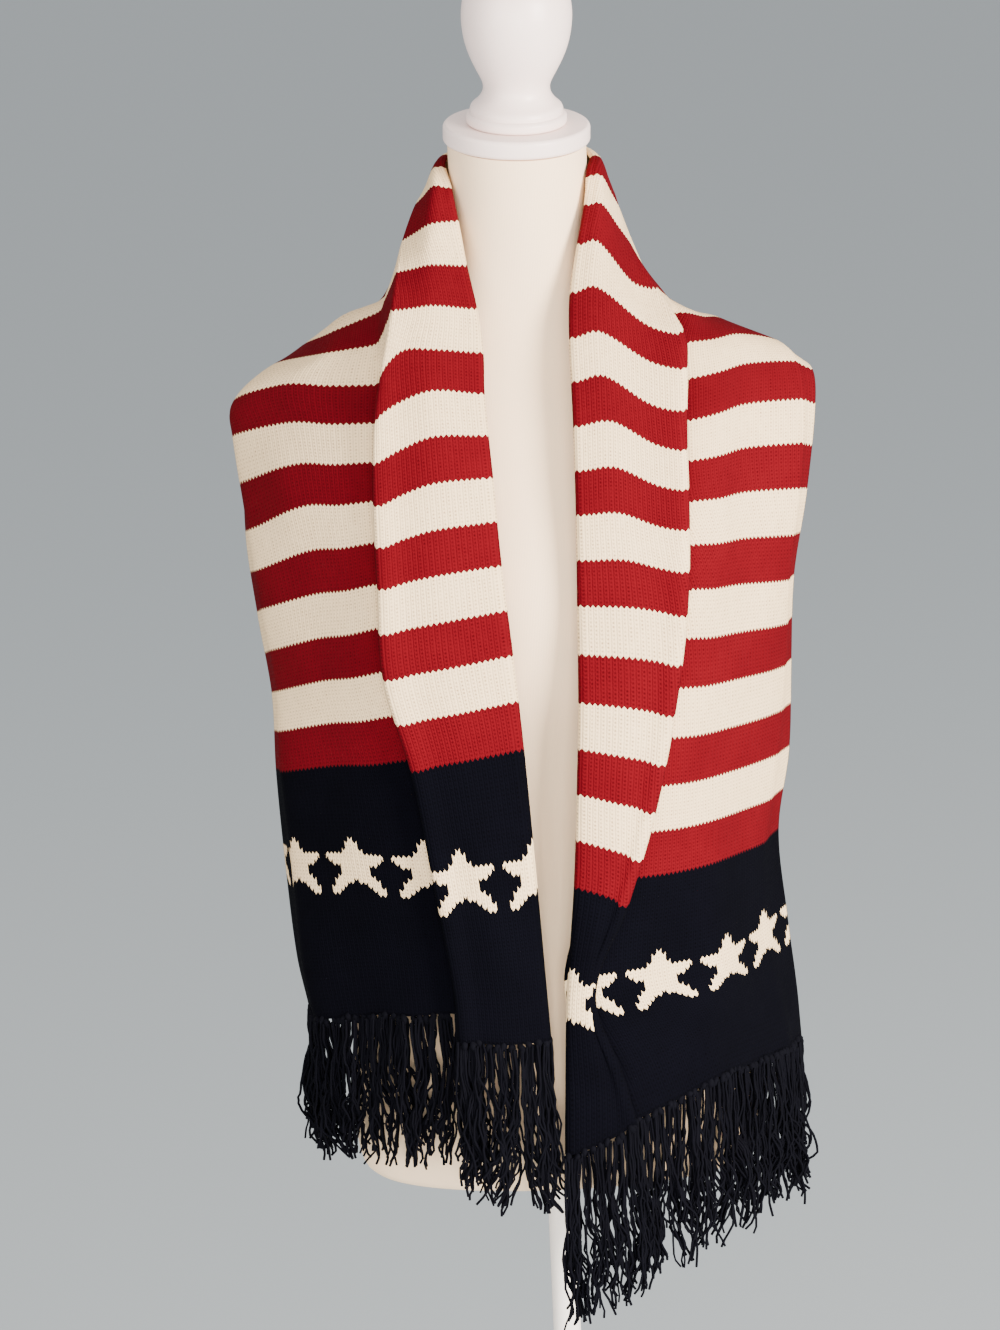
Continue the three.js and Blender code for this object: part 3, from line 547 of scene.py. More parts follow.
def jersey_form():
    """The padded body under its fitted cover, lofted through the named heights."""
    heights = np.array([f["z"] for f in FORM], float)
    sizes = np.array([[f["half"], f["front"], f["back"], f["pinch"]] for f in FORM], float)
    angles = np.linspace(0, 2 * math.pi, FORM_SIDES, endpoint=False)
    rings = []
    levels = []
    for low, high in zip(heights, heights[1:]):
        count = max(2, int((high - low) / FORM_STEP))
        levels += list(np.linspace(low, high, count, endpoint=False))
    levels.append(heights[-1])
    for z in levels:
        half, front, back, pinch = through(sizes, heights, z)
        tip = min(1, max(0, (z - NECK_TIP) / (NECK_TOP - NECK_TIP)))
        ring = []
        for a in angles:
            x = half * math.cos(a)
            depth = front if math.sin(a) < 0 else back
            y = math.copysign(abs(math.sin(a)) ** (1 + pinch), math.sin(a)) * depth
            ring.append((x, y, z + tip * (y * LEAN_Y + x * LEAN_X)))
        rings.append(ring)
    return closed_rings("jersey_form", rings, (0, 0, heights[0]), (0, 0, NECK_TOP))


# ---- materials ----
def linear(hex_colour):
    parts = [int(hex_colour[i : i + 2], 16) / 255 for i in (1, 3, 5)]
    return (*[c / 12.92 if c <= 0.04045 else ((c + 0.055) / 1.055) ** 2.4 for c in parts], 1.0)


def put(tree, kind, inputs=None, out=0, **settings):
    """Add a node with its settings; inputs are values or sockets, by name or number."""
    node = tree.nodes.new(kind)
    for key, value in settings.items():
        setattr(node, key, value)
    for key, value in (inputs or {}).items():
        if isinstance(value, bpy.types.NodeSocket):
            tree.links.new(value, node.inputs[key])
        else:
            node.inputs[key].default_value = value
    return node.outputs[out] if node.outputs else node


def new_material(name):
    material = bpy.data.materials.new(name)
    material.use_nodes = True
    tree = material.node_tree
    tree.nodes.clear()
    return material, tree


# a five-point star on 15 wales x 15 courses, bottom course first: how many stitches it reaches out
# from its middle column, and from which stitch on (the legs part at the bottom)
STAR_REACH = [6, 6, 5, 5, 4, 3, 3, 3, 5, 6, 7, 2, 1, 1, 0]
STAR_FROM = [5, 4, 3, 1, 0, 0, 0, 0, 0, 0, 0, 0, 0, 0, 0]
LEFT_STAR = 34            # first star course above the left hem
STAR_FIRST = (2, 3)       # wale of the first star's middle, at the left end and at the right
STAR_EVERY = 16           # wales from star to star
STAR_HALF = 7.05          # wales from a star's middle to the end of its arms
CHART_TOP = 8             # charts hold numbers up to this


def chart(tree, course, counts):
    """Reads one number per course from a short list, as a ramp of flat steps."""
    at = put(tree, "ShaderNodeMath", {0: course, 1: len(counts)}, operation="DIVIDE")
    ramp = put(tree, "ShaderNodeValToRGB", {0: at}).node
    ramp.color_ramp.interpolation = "CONSTANT"
    stops = ramp.color_ramp.elements
    while len(stops) < len(counts):
        stops.new(1)
    for i, count in enumerate(counts):
        stops[i].position = i / len(counts) + 0.001
        stops[i].color = (*[count / CHART_TOP] * 3, 1)
    return put(tree, "ShaderNodeMath", {0: ramp.outputs[0], 1: CHART_TOP}, operation="MULTIPLY")


def double_knit():
    """Acrylic double knit: matt, a V for every stitch, colours changing along zigzag courses."""
    material, tree = new_material("acrylic_double_knit")
    place = put(tree, "ShaderNodeUVMap", uv_map="stitches")
    split = put(tree, "ShaderNodeSeparateXYZ", {0: place}).node
    wale = put(tree, "ShaderNodeMath", {0: split.outputs[0], 1: WALES}, operation="MULTIPLY")
    course = put(tree, "ShaderNodeMath", {0: split.outputs[1], 1: COURSES}, operation="MULTIPLY")
    # leg is 0 down the middle of a stitch column and 1 between two columns
    leg = put(tree, "ShaderNodeMath", {
        0: put(tree, "ShaderNodeMath", {0: wale, 1: 0.5}, operation="SUBTRACT"),
        1: 0.5,
    }, operation="PINGPONG")
    leg = put(tree, "ShaderNodeMath", {0: leg, 1: 2}, operation="MULTIPLY")
    # both halves are counted up from their own hem, the right one ahead by the courses its dark end
    # is shorter, so both dark ends close at LEFT_END; each stitch's arms climb beside its foot
    right_half = put(tree, "ShaderNodeMath", {0: course, 1: COURSES / 2}, operation="GREATER_THAN")
    from_right = put(tree, "ShaderNodeMath", {
        0: COURSES + LEFT_END - RIGHT_END, 1: course}, operation="SUBTRACT")
    from_hem = put(tree, "ShaderNodeMix", {0: right_half, 2: course, 3: from_right},
                   data_type="FLOAT")
    slant = put(tree, "ShaderNodeMath", {
        0: from_hem,
        1: put(tree, "ShaderNodeMath", {0: leg, 1: 0.8}, operation="MULTIPLY"),
    }, operation="SUBTRACT")
    stripe = put(tree, "ShaderNodeMath", {
        0: put(tree, "ShaderNodeMath", {0: slant, 1: LEFT_END}, operation="SUBTRACT"),
        1: STRIPE_COURSES,
    }, operation="DIVIDE")
    odd = put(tree, "ShaderNodeMath", {
        0: put(tree, "ShaderNodeMath", {0: stripe}, operation="FLOOR"), 1: 2}, operation="MODULO")
    dark_end = put(tree, "ShaderNodeMath", {0: slant, 1: LEFT_END}, operation="LESS_THAN")
    # stars
    above_foot = put(tree, "ShaderNodeMath", {0: slant, 1: LEFT_STAR}, operation="SUBTRACT")
    star_course = put(tree, "ShaderNodeMath", {
        0: put(tree, "ShaderNodeMath", {0: above_foot}, operation="FLOOR"),
        1: 0.5,
    }, operation="ADD")
    first = put(tree, "ShaderNodeMath", {
        0: right_half,
        1: STAR_FIRST[1] - STAR_FIRST[0],
        2: STAR_FIRST[0],
    }, operation="MULTIPLY_ADD")
    aside = put(tree, "ShaderNodeMath", {
        0: put(tree, "ShaderNodeMath", {0: wale, 1: first}, operation="SUBTRACT"),
        1: STAR_EVERY / 2 - 0.5,
    }, operation="ADD")
    aside = put(tree, "ShaderNodeMath", {0: aside, 1: STAR_EVERY, 2: 0.0}, operation="WRAP")
    aside = put(tree, "ShaderNodeMath", {
        0: put(tree, "ShaderNodeMath", {0: aside, 1: STAR_EVERY / 2}, operation="SUBTRACT"),
    }, operation="ABSOLUTE")
    off = put(tree, "ShaderNodeMath", {
        0: put(tree, "ShaderNodeMath", {0: aside, 1: 0.5}, operation="ADD")}, operation="FLOOR")
    reach = chart(tree, star_course, STAR_REACH)
    start = chart(tree, star_course, STAR_FROM)
    within = put(tree, "ShaderNodeMath", {
        0: off,
        1: put(tree, "ShaderNodeMath", {0: reach, 1: 0.4}, operation="ADD"),
    }, operation="LESS_THAN")
    beyond = put(tree, "ShaderNodeMath", {
        0: off,
        1: put(tree, "ShaderNodeMath", {0: start, 1: 0.4}, operation="SUBTRACT"),
    }, operation="GREATER_THAN")
    inside = put(tree, "ShaderNodeMath", {0: within, 1: beyond}, operation="MULTIPLY")
    in_rows = put(tree, "ShaderNodeMath", {
        0: put(tree, "ShaderNodeMath", {0: star_course, 1: 0.0}, operation="GREATER_THAN"),
        1: put(tree, "ShaderNodeMath", {0: star_course, 1: len(STAR_REACH)}, operation="LESS_THAN"),
    }, operation="MULTIPLY")
    # the arms' last stitches pull in a little, so neighbouring stars stay apart
    clear = put(tree, "ShaderNodeMath", {0: aside, 1: STAR_HALF}, operation="LESS_THAN")
    star = put(tree, "ShaderNodeMath", {
        0: put(tree, "ShaderNodeMath", {0: inside, 1: in_rows}, operation="MULTIPLY"),
        1: clear,
    }, operation="MULTIPLY")
    # the stitch's own relief: a column of stacked Vs, with a pinhole where each V's arms meet
    step = put(tree, "ShaderNodeMath", {0: slant}, operation="FRACT")
    bead = put(tree, "ShaderNodeMath", {
        0: put(tree, "ShaderNodeMath", {0: step, 1: math.pi}, operation="MULTIPLY"),
    }, operation="SINE")
    column_round = put(tree, "ShaderNodeMath", {
        0: 1.0,
        1: put(tree, "ShaderNodeMath", {0: leg, 1: 4.0}, operation="POWER"),
    }, operation="SUBTRACT")
    relief = put(tree, "ShaderNodeMath", {
        0: column_round,
        1: put(tree, "ShaderNodeMath", {0: bead, 1: 0.4, 2: 0.6}, operation="MULTIPLY_ADD"),
    }, operation="MULTIPLY")
    middle = put(tree, "ShaderNodeMath", {
        0: put(tree, "ShaderNodeMath", {0: leg, 1: -1.9, 2: 1.0}, operation="MULTIPLY_ADD"),
        1: 0.0,
    }, operation="MAXIMUM")
    beside = put(tree, "ShaderNodeMath", {
        0: put(tree, "ShaderNodeMath", {0: from_hem}, operation="FRACT"),
        1: 0.5,
    }, operation="SUBTRACT")
    beside = put(tree, "ShaderNodeMath", {0: beside}, operation="ABSOLUTE")
    low = put(tree, "ShaderNodeMath", {
        0: put(tree, "ShaderNodeMath", {0: beside, 1: -2.4, 2: 1.0}, operation="MULTIPLY_ADD"),
        1: 0.0,
    }, operation="MAXIMUM")
    hole = put(tree, "ShaderNodeMath", {0: middle, 1: low}, operation="MULTIPLY")
    where = put(tree, "ShaderNodeTexCoord", out=3)
    hair = put(tree, "ShaderNodeTexNoise", {"Vector": where, "Scale": 900.0, "Detail": 3.0})
    slack = put(tree, "ShaderNodeTexNoise", {"Vector": where, "Scale": 160.0, "Detail": 2.0})
    patch = put(tree, "ShaderNodeTexNoise", {"Vector": where, "Scale": 22.0, "Detail": 2.0})

    # each yarn's colour wanders a little from place to place
    red, ivory, navy = (
        put(tree, "ShaderNodeMix", {0: patch, 6: linear(dark), 7: linear(light)}, out=2,
            data_type="RGBA")
        for dark, light in (("#540710", "#610B14"), ("#E8CBA0", "#F5D7AB"), ("#030307", "#06060D"))
    )
    striped = put(tree, "ShaderNodeMix", {0: odd, 6: red, 7: ivory}, out=2, data_type="RGBA")
    ends = put(tree, "ShaderNodeMix", {0: star, 6: navy, 7: ivory}, out=2, data_type="RGBA")
    colour = put(tree, "ShaderNodeMix", {0: dark_end, 6: striped, 7: ends}, out=2, data_type="RGBA")
    # the yarn carried behind shows through the pinholes, and painted shade darkens the pinholes and
    # the grooves between the columns; both are multiplied into the colour
    gap_yarn_and_shade = put(tree, "ShaderNodeMath", {0: leg, 1: 5.0}, operation="POWER")
    gap_yarn_and_shade = put(tree, "ShaderNodeMath", {
        0: gap_yarn_and_shade,
        1: put(tree, "ShaderNodeMath", {0: slack, 1: 0.46}, operation="MULTIPLY"),
    }, operation="MULTIPLY")
    carried_yarn_and_shade = put(tree, "ShaderNodeMath", {
        0: hole,
        1: put(tree, "ShaderNodeMath", {0: slack, 1: 1.3}, operation="MULTIPLY"),
        2: gap_yarn_and_shade,
    }, operation="MULTIPLY_ADD")
    # the colour darkened by the carried yarn and by painted shade in the pinholes and between the
    # columns
    shade = put(tree, "ShaderNodeMix", {
        0: carried_yarn_and_shade, 6: colour, 7: linear("#5B2E26")}, out=2, data_type="RGBA", blend_type="MULTIPLY")
    height = put(tree, "ShaderNodeMath", {0: hole, 1: -0.5, 2: relief}, operation="MULTIPLY_ADD")
    height = put(tree, "ShaderNodeMath", {0: hair, 1: 0.3, 2: height}, operation="MULTIPLY_ADD")
    bump = put(tree, "ShaderNodeBump", {"Height": height, "Strength": 0.5, "Distance": 0.0011})
    cloth = put(tree, "ShaderNodeBsdfPrincipled", {
        "Base Color": shade, "Roughness": 0.95, "Normal": bump, "Specular IOR Level": 0.03})
    put(tree, "ShaderNodeOutputMaterial", {0: cloth})
    return material


def fringe_yarn():
    """Plied acrylic yarn: nearly black navy, matt, with a fine uneven relief for its plies."""
    material, tree = new_material("plied_acrylic_yarn")
    where = put(tree, "ShaderNodeTexCoord", out=3)
    ply = put(tree, "ShaderNodeTexNoise", {"Vector": where, "Scale": 700.0, "Detail": 2.0})
    tone = put(tree, "ShaderNodeTexNoise", {"Vector": where, "Scale": 60.0, "Detail": 2.0})
    colour = put(tree, "ShaderNodeMix", {
        0: tone, 6: linear("#030307"), 7: linear("#08080F")}, out=2, data_type="RGBA")
    bump = put(tree, "ShaderNodeBump", {"Height": ply, "Strength": 0.6, "Distance": 0.0004})
    yarn = put(tree, "ShaderNodeBsdfPrincipled", {
        "Base Color": colour, "Roughness": 0.85, "Normal": bump, "Specular IOR Level": 0.05})
    put(tree, "ShaderNodeOutputMaterial", {0: yarn})
    return material


def form_jersey():
    """Fine cotton jersey pulled over foam: matt cream, its fine wales drawn at 1.2 mm."""
    material, tree = new_material("cotton_jersey")
    where = put(tree, "ShaderNodeTexCoord", out=3)
    wale = put(tree, "ShaderNodeTexWave", {"Vector": where, "Scale": 260.0, "Distortion": 1.2,
                                           "Detail": 1.0}, bands_direction="X")
    patch = put(tree, "ShaderNodeTexNoise", {"Vector": where, "Scale": 14.0, "Detail": 3.0})
    pill = put(tree, "ShaderNodeTexNoise", {"Vector": where, "Scale": 420.0, "Detail": 2.0})
    colour = put(tree, "ShaderNodeMix", {
        0: patch, 6: linear("#F0D2B0"), 7: linear("#FBDEBA")}, out=2, data_type="RGBA")
    height = put(tree, "ShaderNodeMath", {0: pill, 1: 0.8, 2: wale}, operation="MULTIPLY_ADD")
    bump = put(tree, "ShaderNodeBump", {"Height": height, "Strength": 0.18, "Distance": 0.0005})
    cloth = put(tree, "ShaderNodeBsdfPrincipled", {
        "Base Color": colour, "Roughness": 0.9, "Normal": bump, "Specular IOR Level": 0.2})
    put(tree, "ShaderNodeOutputMaterial", {0: cloth})
    return material


def painted_wood():
    """Turned beech under brushed white paint: satin, with faint rings left by the brush."""
    material, tree = new_material("painted_beech")
    where = put(tree, "ShaderNodeTexCoord", out=3)
    stretch = put(tree, "ShaderNodeMapping", {"Vector": where, "Scale": (6.0, 6.0, 90.0)})
    brush = put(tree, "ShaderNodeTexNoise", {"Vector": stretch, "Scale": 6.0, "Detail": 4.0})
    patch = put(tree, "ShaderNodeTexNoise", {"Vector": where, "Scale": 18.0, "Detail": 3.0})
    colour = put(tree, "ShaderNodeMix", {
        0: patch, 6: linear("#EAD4CD"), 7: linear("#F7E3DC")}, out=2, data_type="RGBA")
    rough = put(tree, "ShaderNodeMapRange", {"Value": brush, 3: 0.34, 4: 0.48})
    bump = put(tree, "ShaderNodeBump", {"Height": brush, "Strength": 0.15, "Distance": 0.0004})
    paint = put(tree, "ShaderNodeBsdfPrincipled", {
        "Base Color": colour, "Roughness": rough, "Normal": bump, "Coat Weight": 0.15,
        "Coat Roughness": 0.3})
    put(tree, "ShaderNodeOutputMaterial", {0: paint})
    return material


def powder_coat():
    """Powder-coated steel: off-white satin with a very fine orange-peel."""
    material, tree = new_material("powder_coated_steel")
    where = put(tree, "ShaderNodeTexCoord", out=3)
    peel = put(tree, "ShaderNodeTexNoise", {"Vector": where, "Scale": 380.0, "Detail": 2.0})
    patch = put(tree, "ShaderNodeTexNoise", {"Vector": where, "Scale": 9.0, "Detail": 3.0})
    colour = put(tree, "ShaderNodeMix", {
        0: patch, 6: linear("#E3DBD3"), 7: linear("#ECE6DF")}, out=2, data_type="RGBA")
    bump = put(tree, "ShaderNodeBump", {"Height": peel, "Strength": 0.12, "Distance": 0.0002})
    paint = put(tree, "ShaderNodeBsdfPrincipled", {
        "Base Color": colour, "Roughness": 0.38, "Normal": bump})
    put(tree, "ShaderNodeOutputMaterial", {0: paint})
    return material


# ---- fringe: yarns knotted into the hem in bunches ----
KNOT_DROP = 0.0012        # metres from the hem down to the line the knots are tied on
YARN_POINTS = 26          # points down one yarn
LANES = 131.0             # the yarns' way through the noise, so that neighbours stray apart
SEED_LANES = 3.7          # and how far a seed moves it


def fringe_tree(material):
    tree = bpy.data.node_groups.new("knotted_fringe", "GeometryNodeTree")
    face = tree.interface
    face.new_socket("Hem", in_out="INPUT", socket_type="NodeSocketGeometry")
    for label, value in (("Bunches", 50), ("Yarns", 8), ("Seed", 1)):
        face.new_socket(label, in_out="INPUT", socket_type="NodeSocketInt").default_value = value
    for label, value in (("Inner length", 0.12), ("Outer length", 0.1), ("Yarn radius", 0.001),
                         ("Knot spread", 0.0032), ("Bunch drift", 0.05), ("Yarn drift", 0.026),
                         ("Crinkle", 0.01), ("Kink", 0.0036)):
        face.new_socket(label, in_out="INPUT", socket_type="NodeSocketFloat").default_value = value
    face.new_socket("Fringe", in_out="OUTPUT", socket_type="NodeSocketGeometry")
    given = put(tree, "NodeGroupInput").node.outputs

    # knots along the hem, tied a little higher or lower by hand
    hem = put(tree, "GeometryNodeMeshToCurve", {"Mesh": given["Hem"]})
    knots = put(tree, "GeometryNodeCurveToPoints", {"Curve": hem, "Count": given["Bunches"]},
                mode="COUNT")
    by_hand = put(tree, "FunctionNodeRandomValue", {
        0: (-0.0016, -0.0008, -0.0026),
        1: (0.0016, 0.0008, 0.0008),
        "Seed": put(tree, "ShaderNodeMath", {0: given["Seed"], 1: 5.0}, operation="ADD"),
    }, data_type="FLOAT_VECTOR")
    knots = put(tree, "GeometryNodeSetPosition", {"Geometry": knots, "Offset": by_hand})
    order = put(tree, "ShaderNodeMath", {
        0: put(tree, "GeometryNodeInputIndex"), 1: given["Bunches"]}, operation="DIVIDE")
    knots = put(tree, "GeometryNodeStoreNamedAttribute", {
        "Geometry": knots, "Name": "bunch", "Value": order}, data_type="FLOAT", domain="POINT")
    # one straight yarn a metre long, hung from each knot several times at a length of its own
    yarn = put(tree, "GeometryNodeCurvePrimitiveLine", {"End": (0.0, 0.0, -1.0)})
    yarn = put(tree, "GeometryNodeResampleCurve", {"Curve": yarn, "Count": YARN_POINTS})
    roots = put(tree, "GeometryNodeDuplicateElements", {
        "Geometry": knots, "Amount": given["Yarns"]}, domain="POINT")
    shift = put(tree, "FunctionNodeRandomValue", {
        0: (-1, -1, -0.3),
        1: (1, 1, 0.3),
        "Seed": put(tree, "ShaderNodeMath", {0: given["Seed"], 1: 0.0}, operation="ADD"),
    }, data_type="FLOAT_VECTOR")
    shift = put(tree, "ShaderNodeVectorMath", {0: shift, "Scale": given["Knot spread"]},
                operation="SCALE")
    roots = put(tree, "GeometryNodeSetPosition", {"Geometry": roots, "Offset": shift})
    roots = put(tree, "GeometryNodeStoreNamedAttribute", {
        "Geometry": roots,
        "Name": "yarn",
        "Value": put(tree, "FunctionNodeRandomValue", {
            2: 0.0,
            3: 1.0,
            "Seed": put(tree, "ShaderNodeMath", {0: given["Seed"], 1: 7.0}, operation="ADD"),
        }, out=1, data_type="FLOAT"),
    }, data_type="FLOAT", domain="POINT")
    usual = put(tree, "ShaderNodeMix", {
        0: put(tree, "GeometryNodeInputNamedAttribute", {"Name": "bunch"}, data_type="FLOAT"),
        2: given["Inner length"],
        3: given["Outer length"],
    }, data_type="FLOAT")
    long = put(tree, "ShaderNodeMath", {
        0: usual,
        1: put(tree, "FunctionNodeRandomValue", {
            2: 0.76,
            3: 1.1,
            "Seed": put(tree, "ShaderNodeMath", {0: given["Seed"], 1: 3.0}, operation="ADD"),
        }, out=1, data_type="FLOAT"),
    }, operation="MULTIPLY")
    size = put(tree, "ShaderNodeCombineXYZ", {"X": 1.0, "Y": 1.0, "Z": long})
    yarns = put(tree, "GeometryNodeInstanceOnPoints", {
        "Points": roots, "Instance": yarn, "Scale": size})
    yarns = put(tree, "GeometryNodeRealizeInstances", {"Geometry": yarns})
    # a bunch strays as one, and each yarn strays and crinkles on its own, all of it more lower
    # down: whose it is, waves down the length, input that gives the amount, how late it sets in
    down = put(tree, "GeometryNodeSplineParameter")
    moves = None
    for owner, speed, amount, power in (
        ("bunch", 2.3, "Bunch drift", 1.1),
        ("yarn", 2.6, "Yarn drift", 0.8),
        ("yarn", 5.5, "Crinkle", 0.6),
        ("yarn", 15.0, "Kink", 0.4),
    ):
        lane = put(tree, "GeometryNodeInputNamedAttribute", {"Name": owner}, data_type="FLOAT")
        lane = put(tree, "ShaderNodeMath", {
            0: lane,
            1: LANES,
            2: put(tree, "ShaderNodeMath", {0: given["Seed"], 1: SEED_LANES}, operation="MULTIPLY"),
        }, operation="MULTIPLY_ADD")
        along = put(tree, "ShaderNodeMath", {0: down, 1: speed}, operation="MULTIPLY")
        at = put(tree, "ShaderNodeCombineXYZ", {"X": lane, "Y": along, "Z": speed})
        noise = put(tree, "ShaderNodeTexNoise", {"Vector": at, "Scale": 1.0, "Detail": 1.0}, out=1)
        centred = put(tree, "ShaderNodeVectorMath", {0: noise, 1: (0.5, 0.5, 0.5)},
                      operation="SUBTRACT")
        growing = put(tree, "ShaderNodeMath", {
            0: put(tree, "ShaderNodeMath", {0: down, 1: power}, operation="POWER"),
            1: given[amount],
        }, operation="MULTIPLY")
        move = put(tree, "ShaderNodeVectorMath", {0: centred, "Scale": growing}, operation="SCALE")
        moves = move if moves is None else put(tree, "ShaderNodeVectorMath", {0: moves, 1: move})
    moves = put(tree, "ShaderNodeVectorMath", {0: moves, 1: (1.0, 0.4, 0.45)}, operation="MULTIPLY")
    yarns = put(tree, "GeometryNodeSetPosition", {"Geometry": yarns, "Offset": moves})
    # cut ends fray to a point
    worn = put(tree, "ShaderNodeMath", {
        0: put(tree, "ShaderNodeMath", {0: down, 1: 7.0}, operation="POWER"),
        1: -0.65,
        2: 1.0,
    }, operation="MULTIPLY_ADD")
    yarns = put(tree, "GeometryNodeSetCurveRadius", {"Curve": yarns, "Radius": worn})
    round_yarn = put(tree, "GeometryNodeCurvePrimitiveCircle", {
        "Resolution": 4, "Radius": given["Yarn radius"]})
    yarns = put(tree, "GeometryNodeCurveToMesh", {
        "Curve": yarns, "Profile Curve": round_yarn, "Fill Caps": True})
    # the knots themselves
    bead = put(tree, "GeometryNodeMeshUVSphere", {"Segments": 8, "Rings": 6, "Radius": 0.0027})
    tilt = put(tree, "FunctionNodeRandomValue", {
        0: (-0.5, -0.5, 0),
        1: (0.5, 0.5, 3),
        "Seed": put(tree, "ShaderNodeMath", {0: given["Seed"], 1: 9.0}, operation="ADD"),
    }, data_type="FLOAT_VECTOR")
    beads = put(tree, "GeometryNodeInstanceOnPoints", {
        "Points": knots, "Instance": bead, "Rotation": tilt, "Scale": (1.25, 1.0, 1.6)})
    both = tree.nodes.new("GeometryNodeJoinGeometry")
    tree.links.new(yarns, both.inputs[0])
    tree.links.new(beads, both.inputs[0])
    whole = put(tree, "GeometryNodeRealizeInstances", {"Geometry": both.outputs[0]})
    whole = put(tree, "GeometryNodeSetShadeSmooth", {"Geometry": whole})
    whole = put(tree, "GeometryNodeSetMaterial", {"Geometry": whole, "Material": material})
    put(tree, "NodeGroupOutput", {0: whole})
    return tree


def fringe_piece(name, course, tree, material, settings, node):
    line = strip_at(course)[:, :3] * MM
    guide = bpy.data.meshes.new(name + "_hem")
    edges = [(i, i + 1) for i in range(len(line) - 1)]
    guide.from_pydata([(p[0], p[1], p[2] - KNOT_DROP) for p in line], edges, [])
    holder = bpy.data.objects.new(name + "_hem", guide)
    bpy.context.collection.objects.link(holder)
    grow = holder.modifiers.new("fringe", "NODES")
    grow.node_group = tree
    for item in tree.interface.items_tree:
        if item.in_out == "INPUT" and item.name in settings:
            grow[item.identifier] = settings[item.name]
    bpy.context.view_layer.update()
    made = holder.evaluated_get(bpy.context.evaluated_depsgraph_get())
    mesh = bpy.data.meshes.new_from_object(made)
    bpy.data.objects.remove(holder)
    return finish_piece(name, mesh, material, "fringe_yarn", node)


# ---- floor and light ----
FLOOR_RINGS = (90, 20, 4, 1, 0.05)  # radii, metres
FLOOR_SIDES = 64
AIM = Vector((0, 0, 1.15))          # about the middle of the dressed form
AIR = 0.95                          # light from all round
# name, place and side in metres, watts, colour
SOFTBOXES = [
    ("key_softbox", (2.6, -2.8, 1.75), 1.5, 540, (1.0, 0.94, 0.86)),
    ("fill_softbox", (-2.1, -3.3, 1.45), 2.4, 95, (1.0, 0.96, 0.91)),
    ("top_softbox", (0.5, -0.9, 4.0), 2.5, 30, (1.0, 0.96, 0.91)),
    ("low_softbox", (0.1, -3.6, 1.0), 1.5, 115, (1.0, 0.95, 0.88)),
]


def studio():
    material, tree = new_material("plain_grey_floor")
    floor_paint = put(tree, "ShaderNodeBsdfPrincipled", {
        "Base Color": linear("#A4ABAF"), "Roughness": 0.95})
    put(tree, "ShaderNodeOutputMaterial", {0: floor_paint})
    angles = np.linspace(0, 2 * math.pi, FLOOR_SIDES, endpoint=False)
    grid = np.array([[(r * math.cos(a), r * math.sin(a), 0) for a in angles] for r in FLOOR_RINGS])
    mesh = grid_mesh("studio_floor", grid)
    mesh.materials.append(material)
    floor = bpy.data.objects.new("studio_floor", mesh)
    bpy.context.collection.objects.link(floor)
    for name, spot, size, power, colour in SOFTBOXES:
        lamp = bpy.data.lights.new(name, "AREA")
        lamp.shape = "SQUARE"
        lamp.size = size
        lamp.energy = power
        lamp.color = colour
        holder = bpy.data.objects.new(name, lamp)
        bpy.context.collection.objects.link(holder)
        holder.location = spot
        aim = AIM - Vector(spot)
        holder.rotation_euler = aim.to_track_quat("-Z", "Y").to_euler()
    world = bpy.data.worlds.new("studio_air")
    world.use_nodes = True
    background = world.node_tree.nodes["Background"]
    background.inputs[0].default_value = (1, 1, 1, 1)
    background.inputs[1].default_value = AIR
    bpy.context.scene.world = world


# ---- make everything; sizes in mm, turned profiles as (radius, height) ----
GAP = 0.3                 # between seated neighbours
BASE_H = 12
COLLAR_H = 34
FLANGE_H = 5
CAP_H = 14
FORM_BOTTOM = 693
POLE_R = 11
BASE_PROFILE = [(0, 0), (170, 0), (170, 8), (166, BASE_H), (0, BASE_H)]
COLLAR_PROFILE = [(0, 0), (24, 0), (24, 24), (15, COLLAR_H), (0, COLLAR_H)]
FLANGE_PROFILE = [(0, 0), (40, 0), (40, FLANGE_H), (0, FLANGE_H)]
CAP_PROFILE = [(0, 0), (53.4, 0), (55.25, 2), (55.25, 12), (53.6, CAP_H), (0, CAP_H)]
FINIAL_PROFILE = [
    (0, 0), (36.4, 0), (37.8, 1.6), (37.8, 6.2), (36.4, 8), (34.6, 8.6), (35, 11), (33.8, 14),
    (29.4, 18), (26, 23), (25, 28), (26.2, 33), (30.2, 41), (35.4, 52), (39.2, 64), (41.1, 77),
    (41, 88), (38.8, 99), (34, 109), (26.6, 117.5), (16.6, 123.8), (6.4, 126.8), (0, 127.2),
]
FOOT_POINTS = 7           # of these, the knob's stepped foot

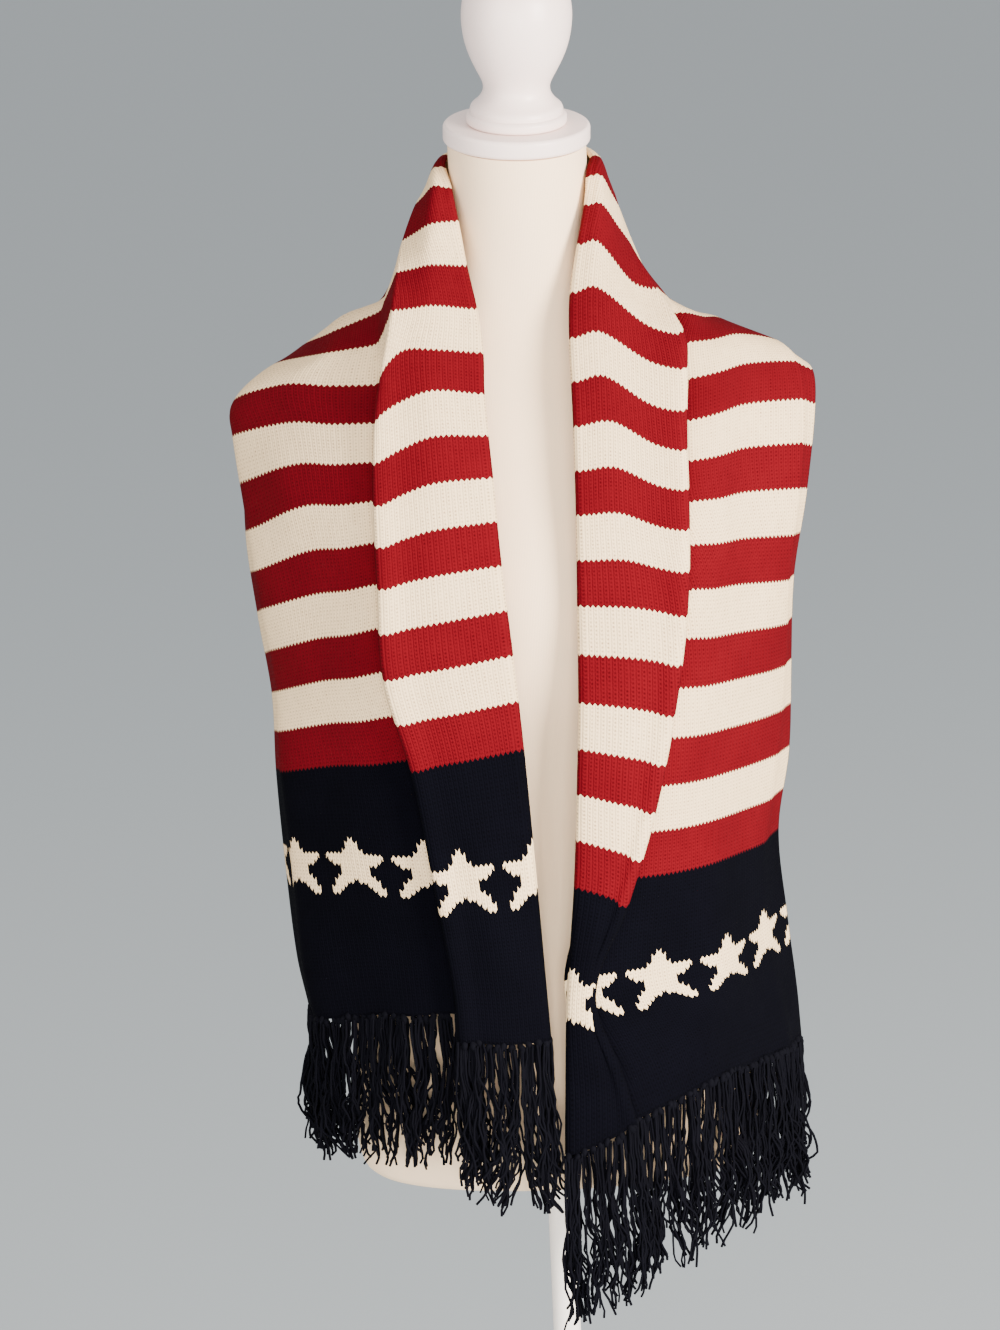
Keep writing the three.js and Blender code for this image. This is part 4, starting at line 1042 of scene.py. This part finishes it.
knit = double_knit()
yarn = fringe_yarn()
jersey = form_jersey()
wood = painted_wood()
steel = powder_coat()

up = Vector((-LEAN_X, -LEAN_Y, 1)).normalized()
neck = Vector((0, 0, NECK_TOP))
pole_foot = BASE_H + COLLAR_H + 2 * GAP
flange_seat = FORM_BOTTOM - GAP - FLANGE_H
pole_top = flange_seat - GAP

finish_piece("form_body", jersey_form(), jersey, "form_jersey", "form_torso")
cap = turned("neck_disc", rounded(CAP_PROFILE, 2.0), tuple(neck + up * GAP), True)
finish_piece("neck_disc", cap, wood, "painted_wood", "neck_cap")
# the knob's stepped foot has eased corners, and its swell runs smooth
foot = rounded(FINIAL_PROFILE[:FOOT_POINTS], 0.7)[:-1]
knob = foot + smooth_profile(FINIAL_PROFILE[FOOT_POINTS - 1 : -1]) + FINIAL_PROFILE[-1:]
knob = turned("neck_knob", knob, tuple(neck + up * (CAP_H + 2 * GAP)), True)
finish_piece("neck_knob", knob, wood, "painted_wood", "finial")
pole_profile = [(0, 0), (POLE_R, 0), (POLE_R, pole_top - pole_foot), (0, pole_top - pole_foot)]
for name, profile, ease, stands_at, node in (
    ("stand_flange", FLANGE_PROFILE, 1.2, flange_seat, "support_flange"),
    ("stand_pole", pole_profile, 0.8, pole_foot, "pole"),
    ("stand_collar", COLLAR_PROFILE, 2.0, BASE_H + GAP, "base_collar"),
    ("stand_base", BASE_PROFILE, 2.0, 0, "base_plate"),
):
    made = turned(name, rounded(profile, ease), (0, 0, stands_at))
    finish_piece(name, made, steel, "stand_metal", node)

scarf = finish_piece("striped_scarf", cloth_wall(), knit, "scarf_knit",
                     "scarf_left", "scarf_neck", "scarf_right")
fringe_nodes = fringe_tree(yarn)
left_fringe = fringe_piece("left_end_fringe", 0, fringe_nodes, yarn, {
    "Seed": 3, "Inner length": 0.126, "Outer length": 0.098}, "fringe_left")
right_fringe = fringe_piece("right_end_fringe", COURSES, fringe_nodes, yarn, {
    "Seed": 11, "Inner length": 0.13, "Outer length": 0.112}, "fringe_right")

studio()
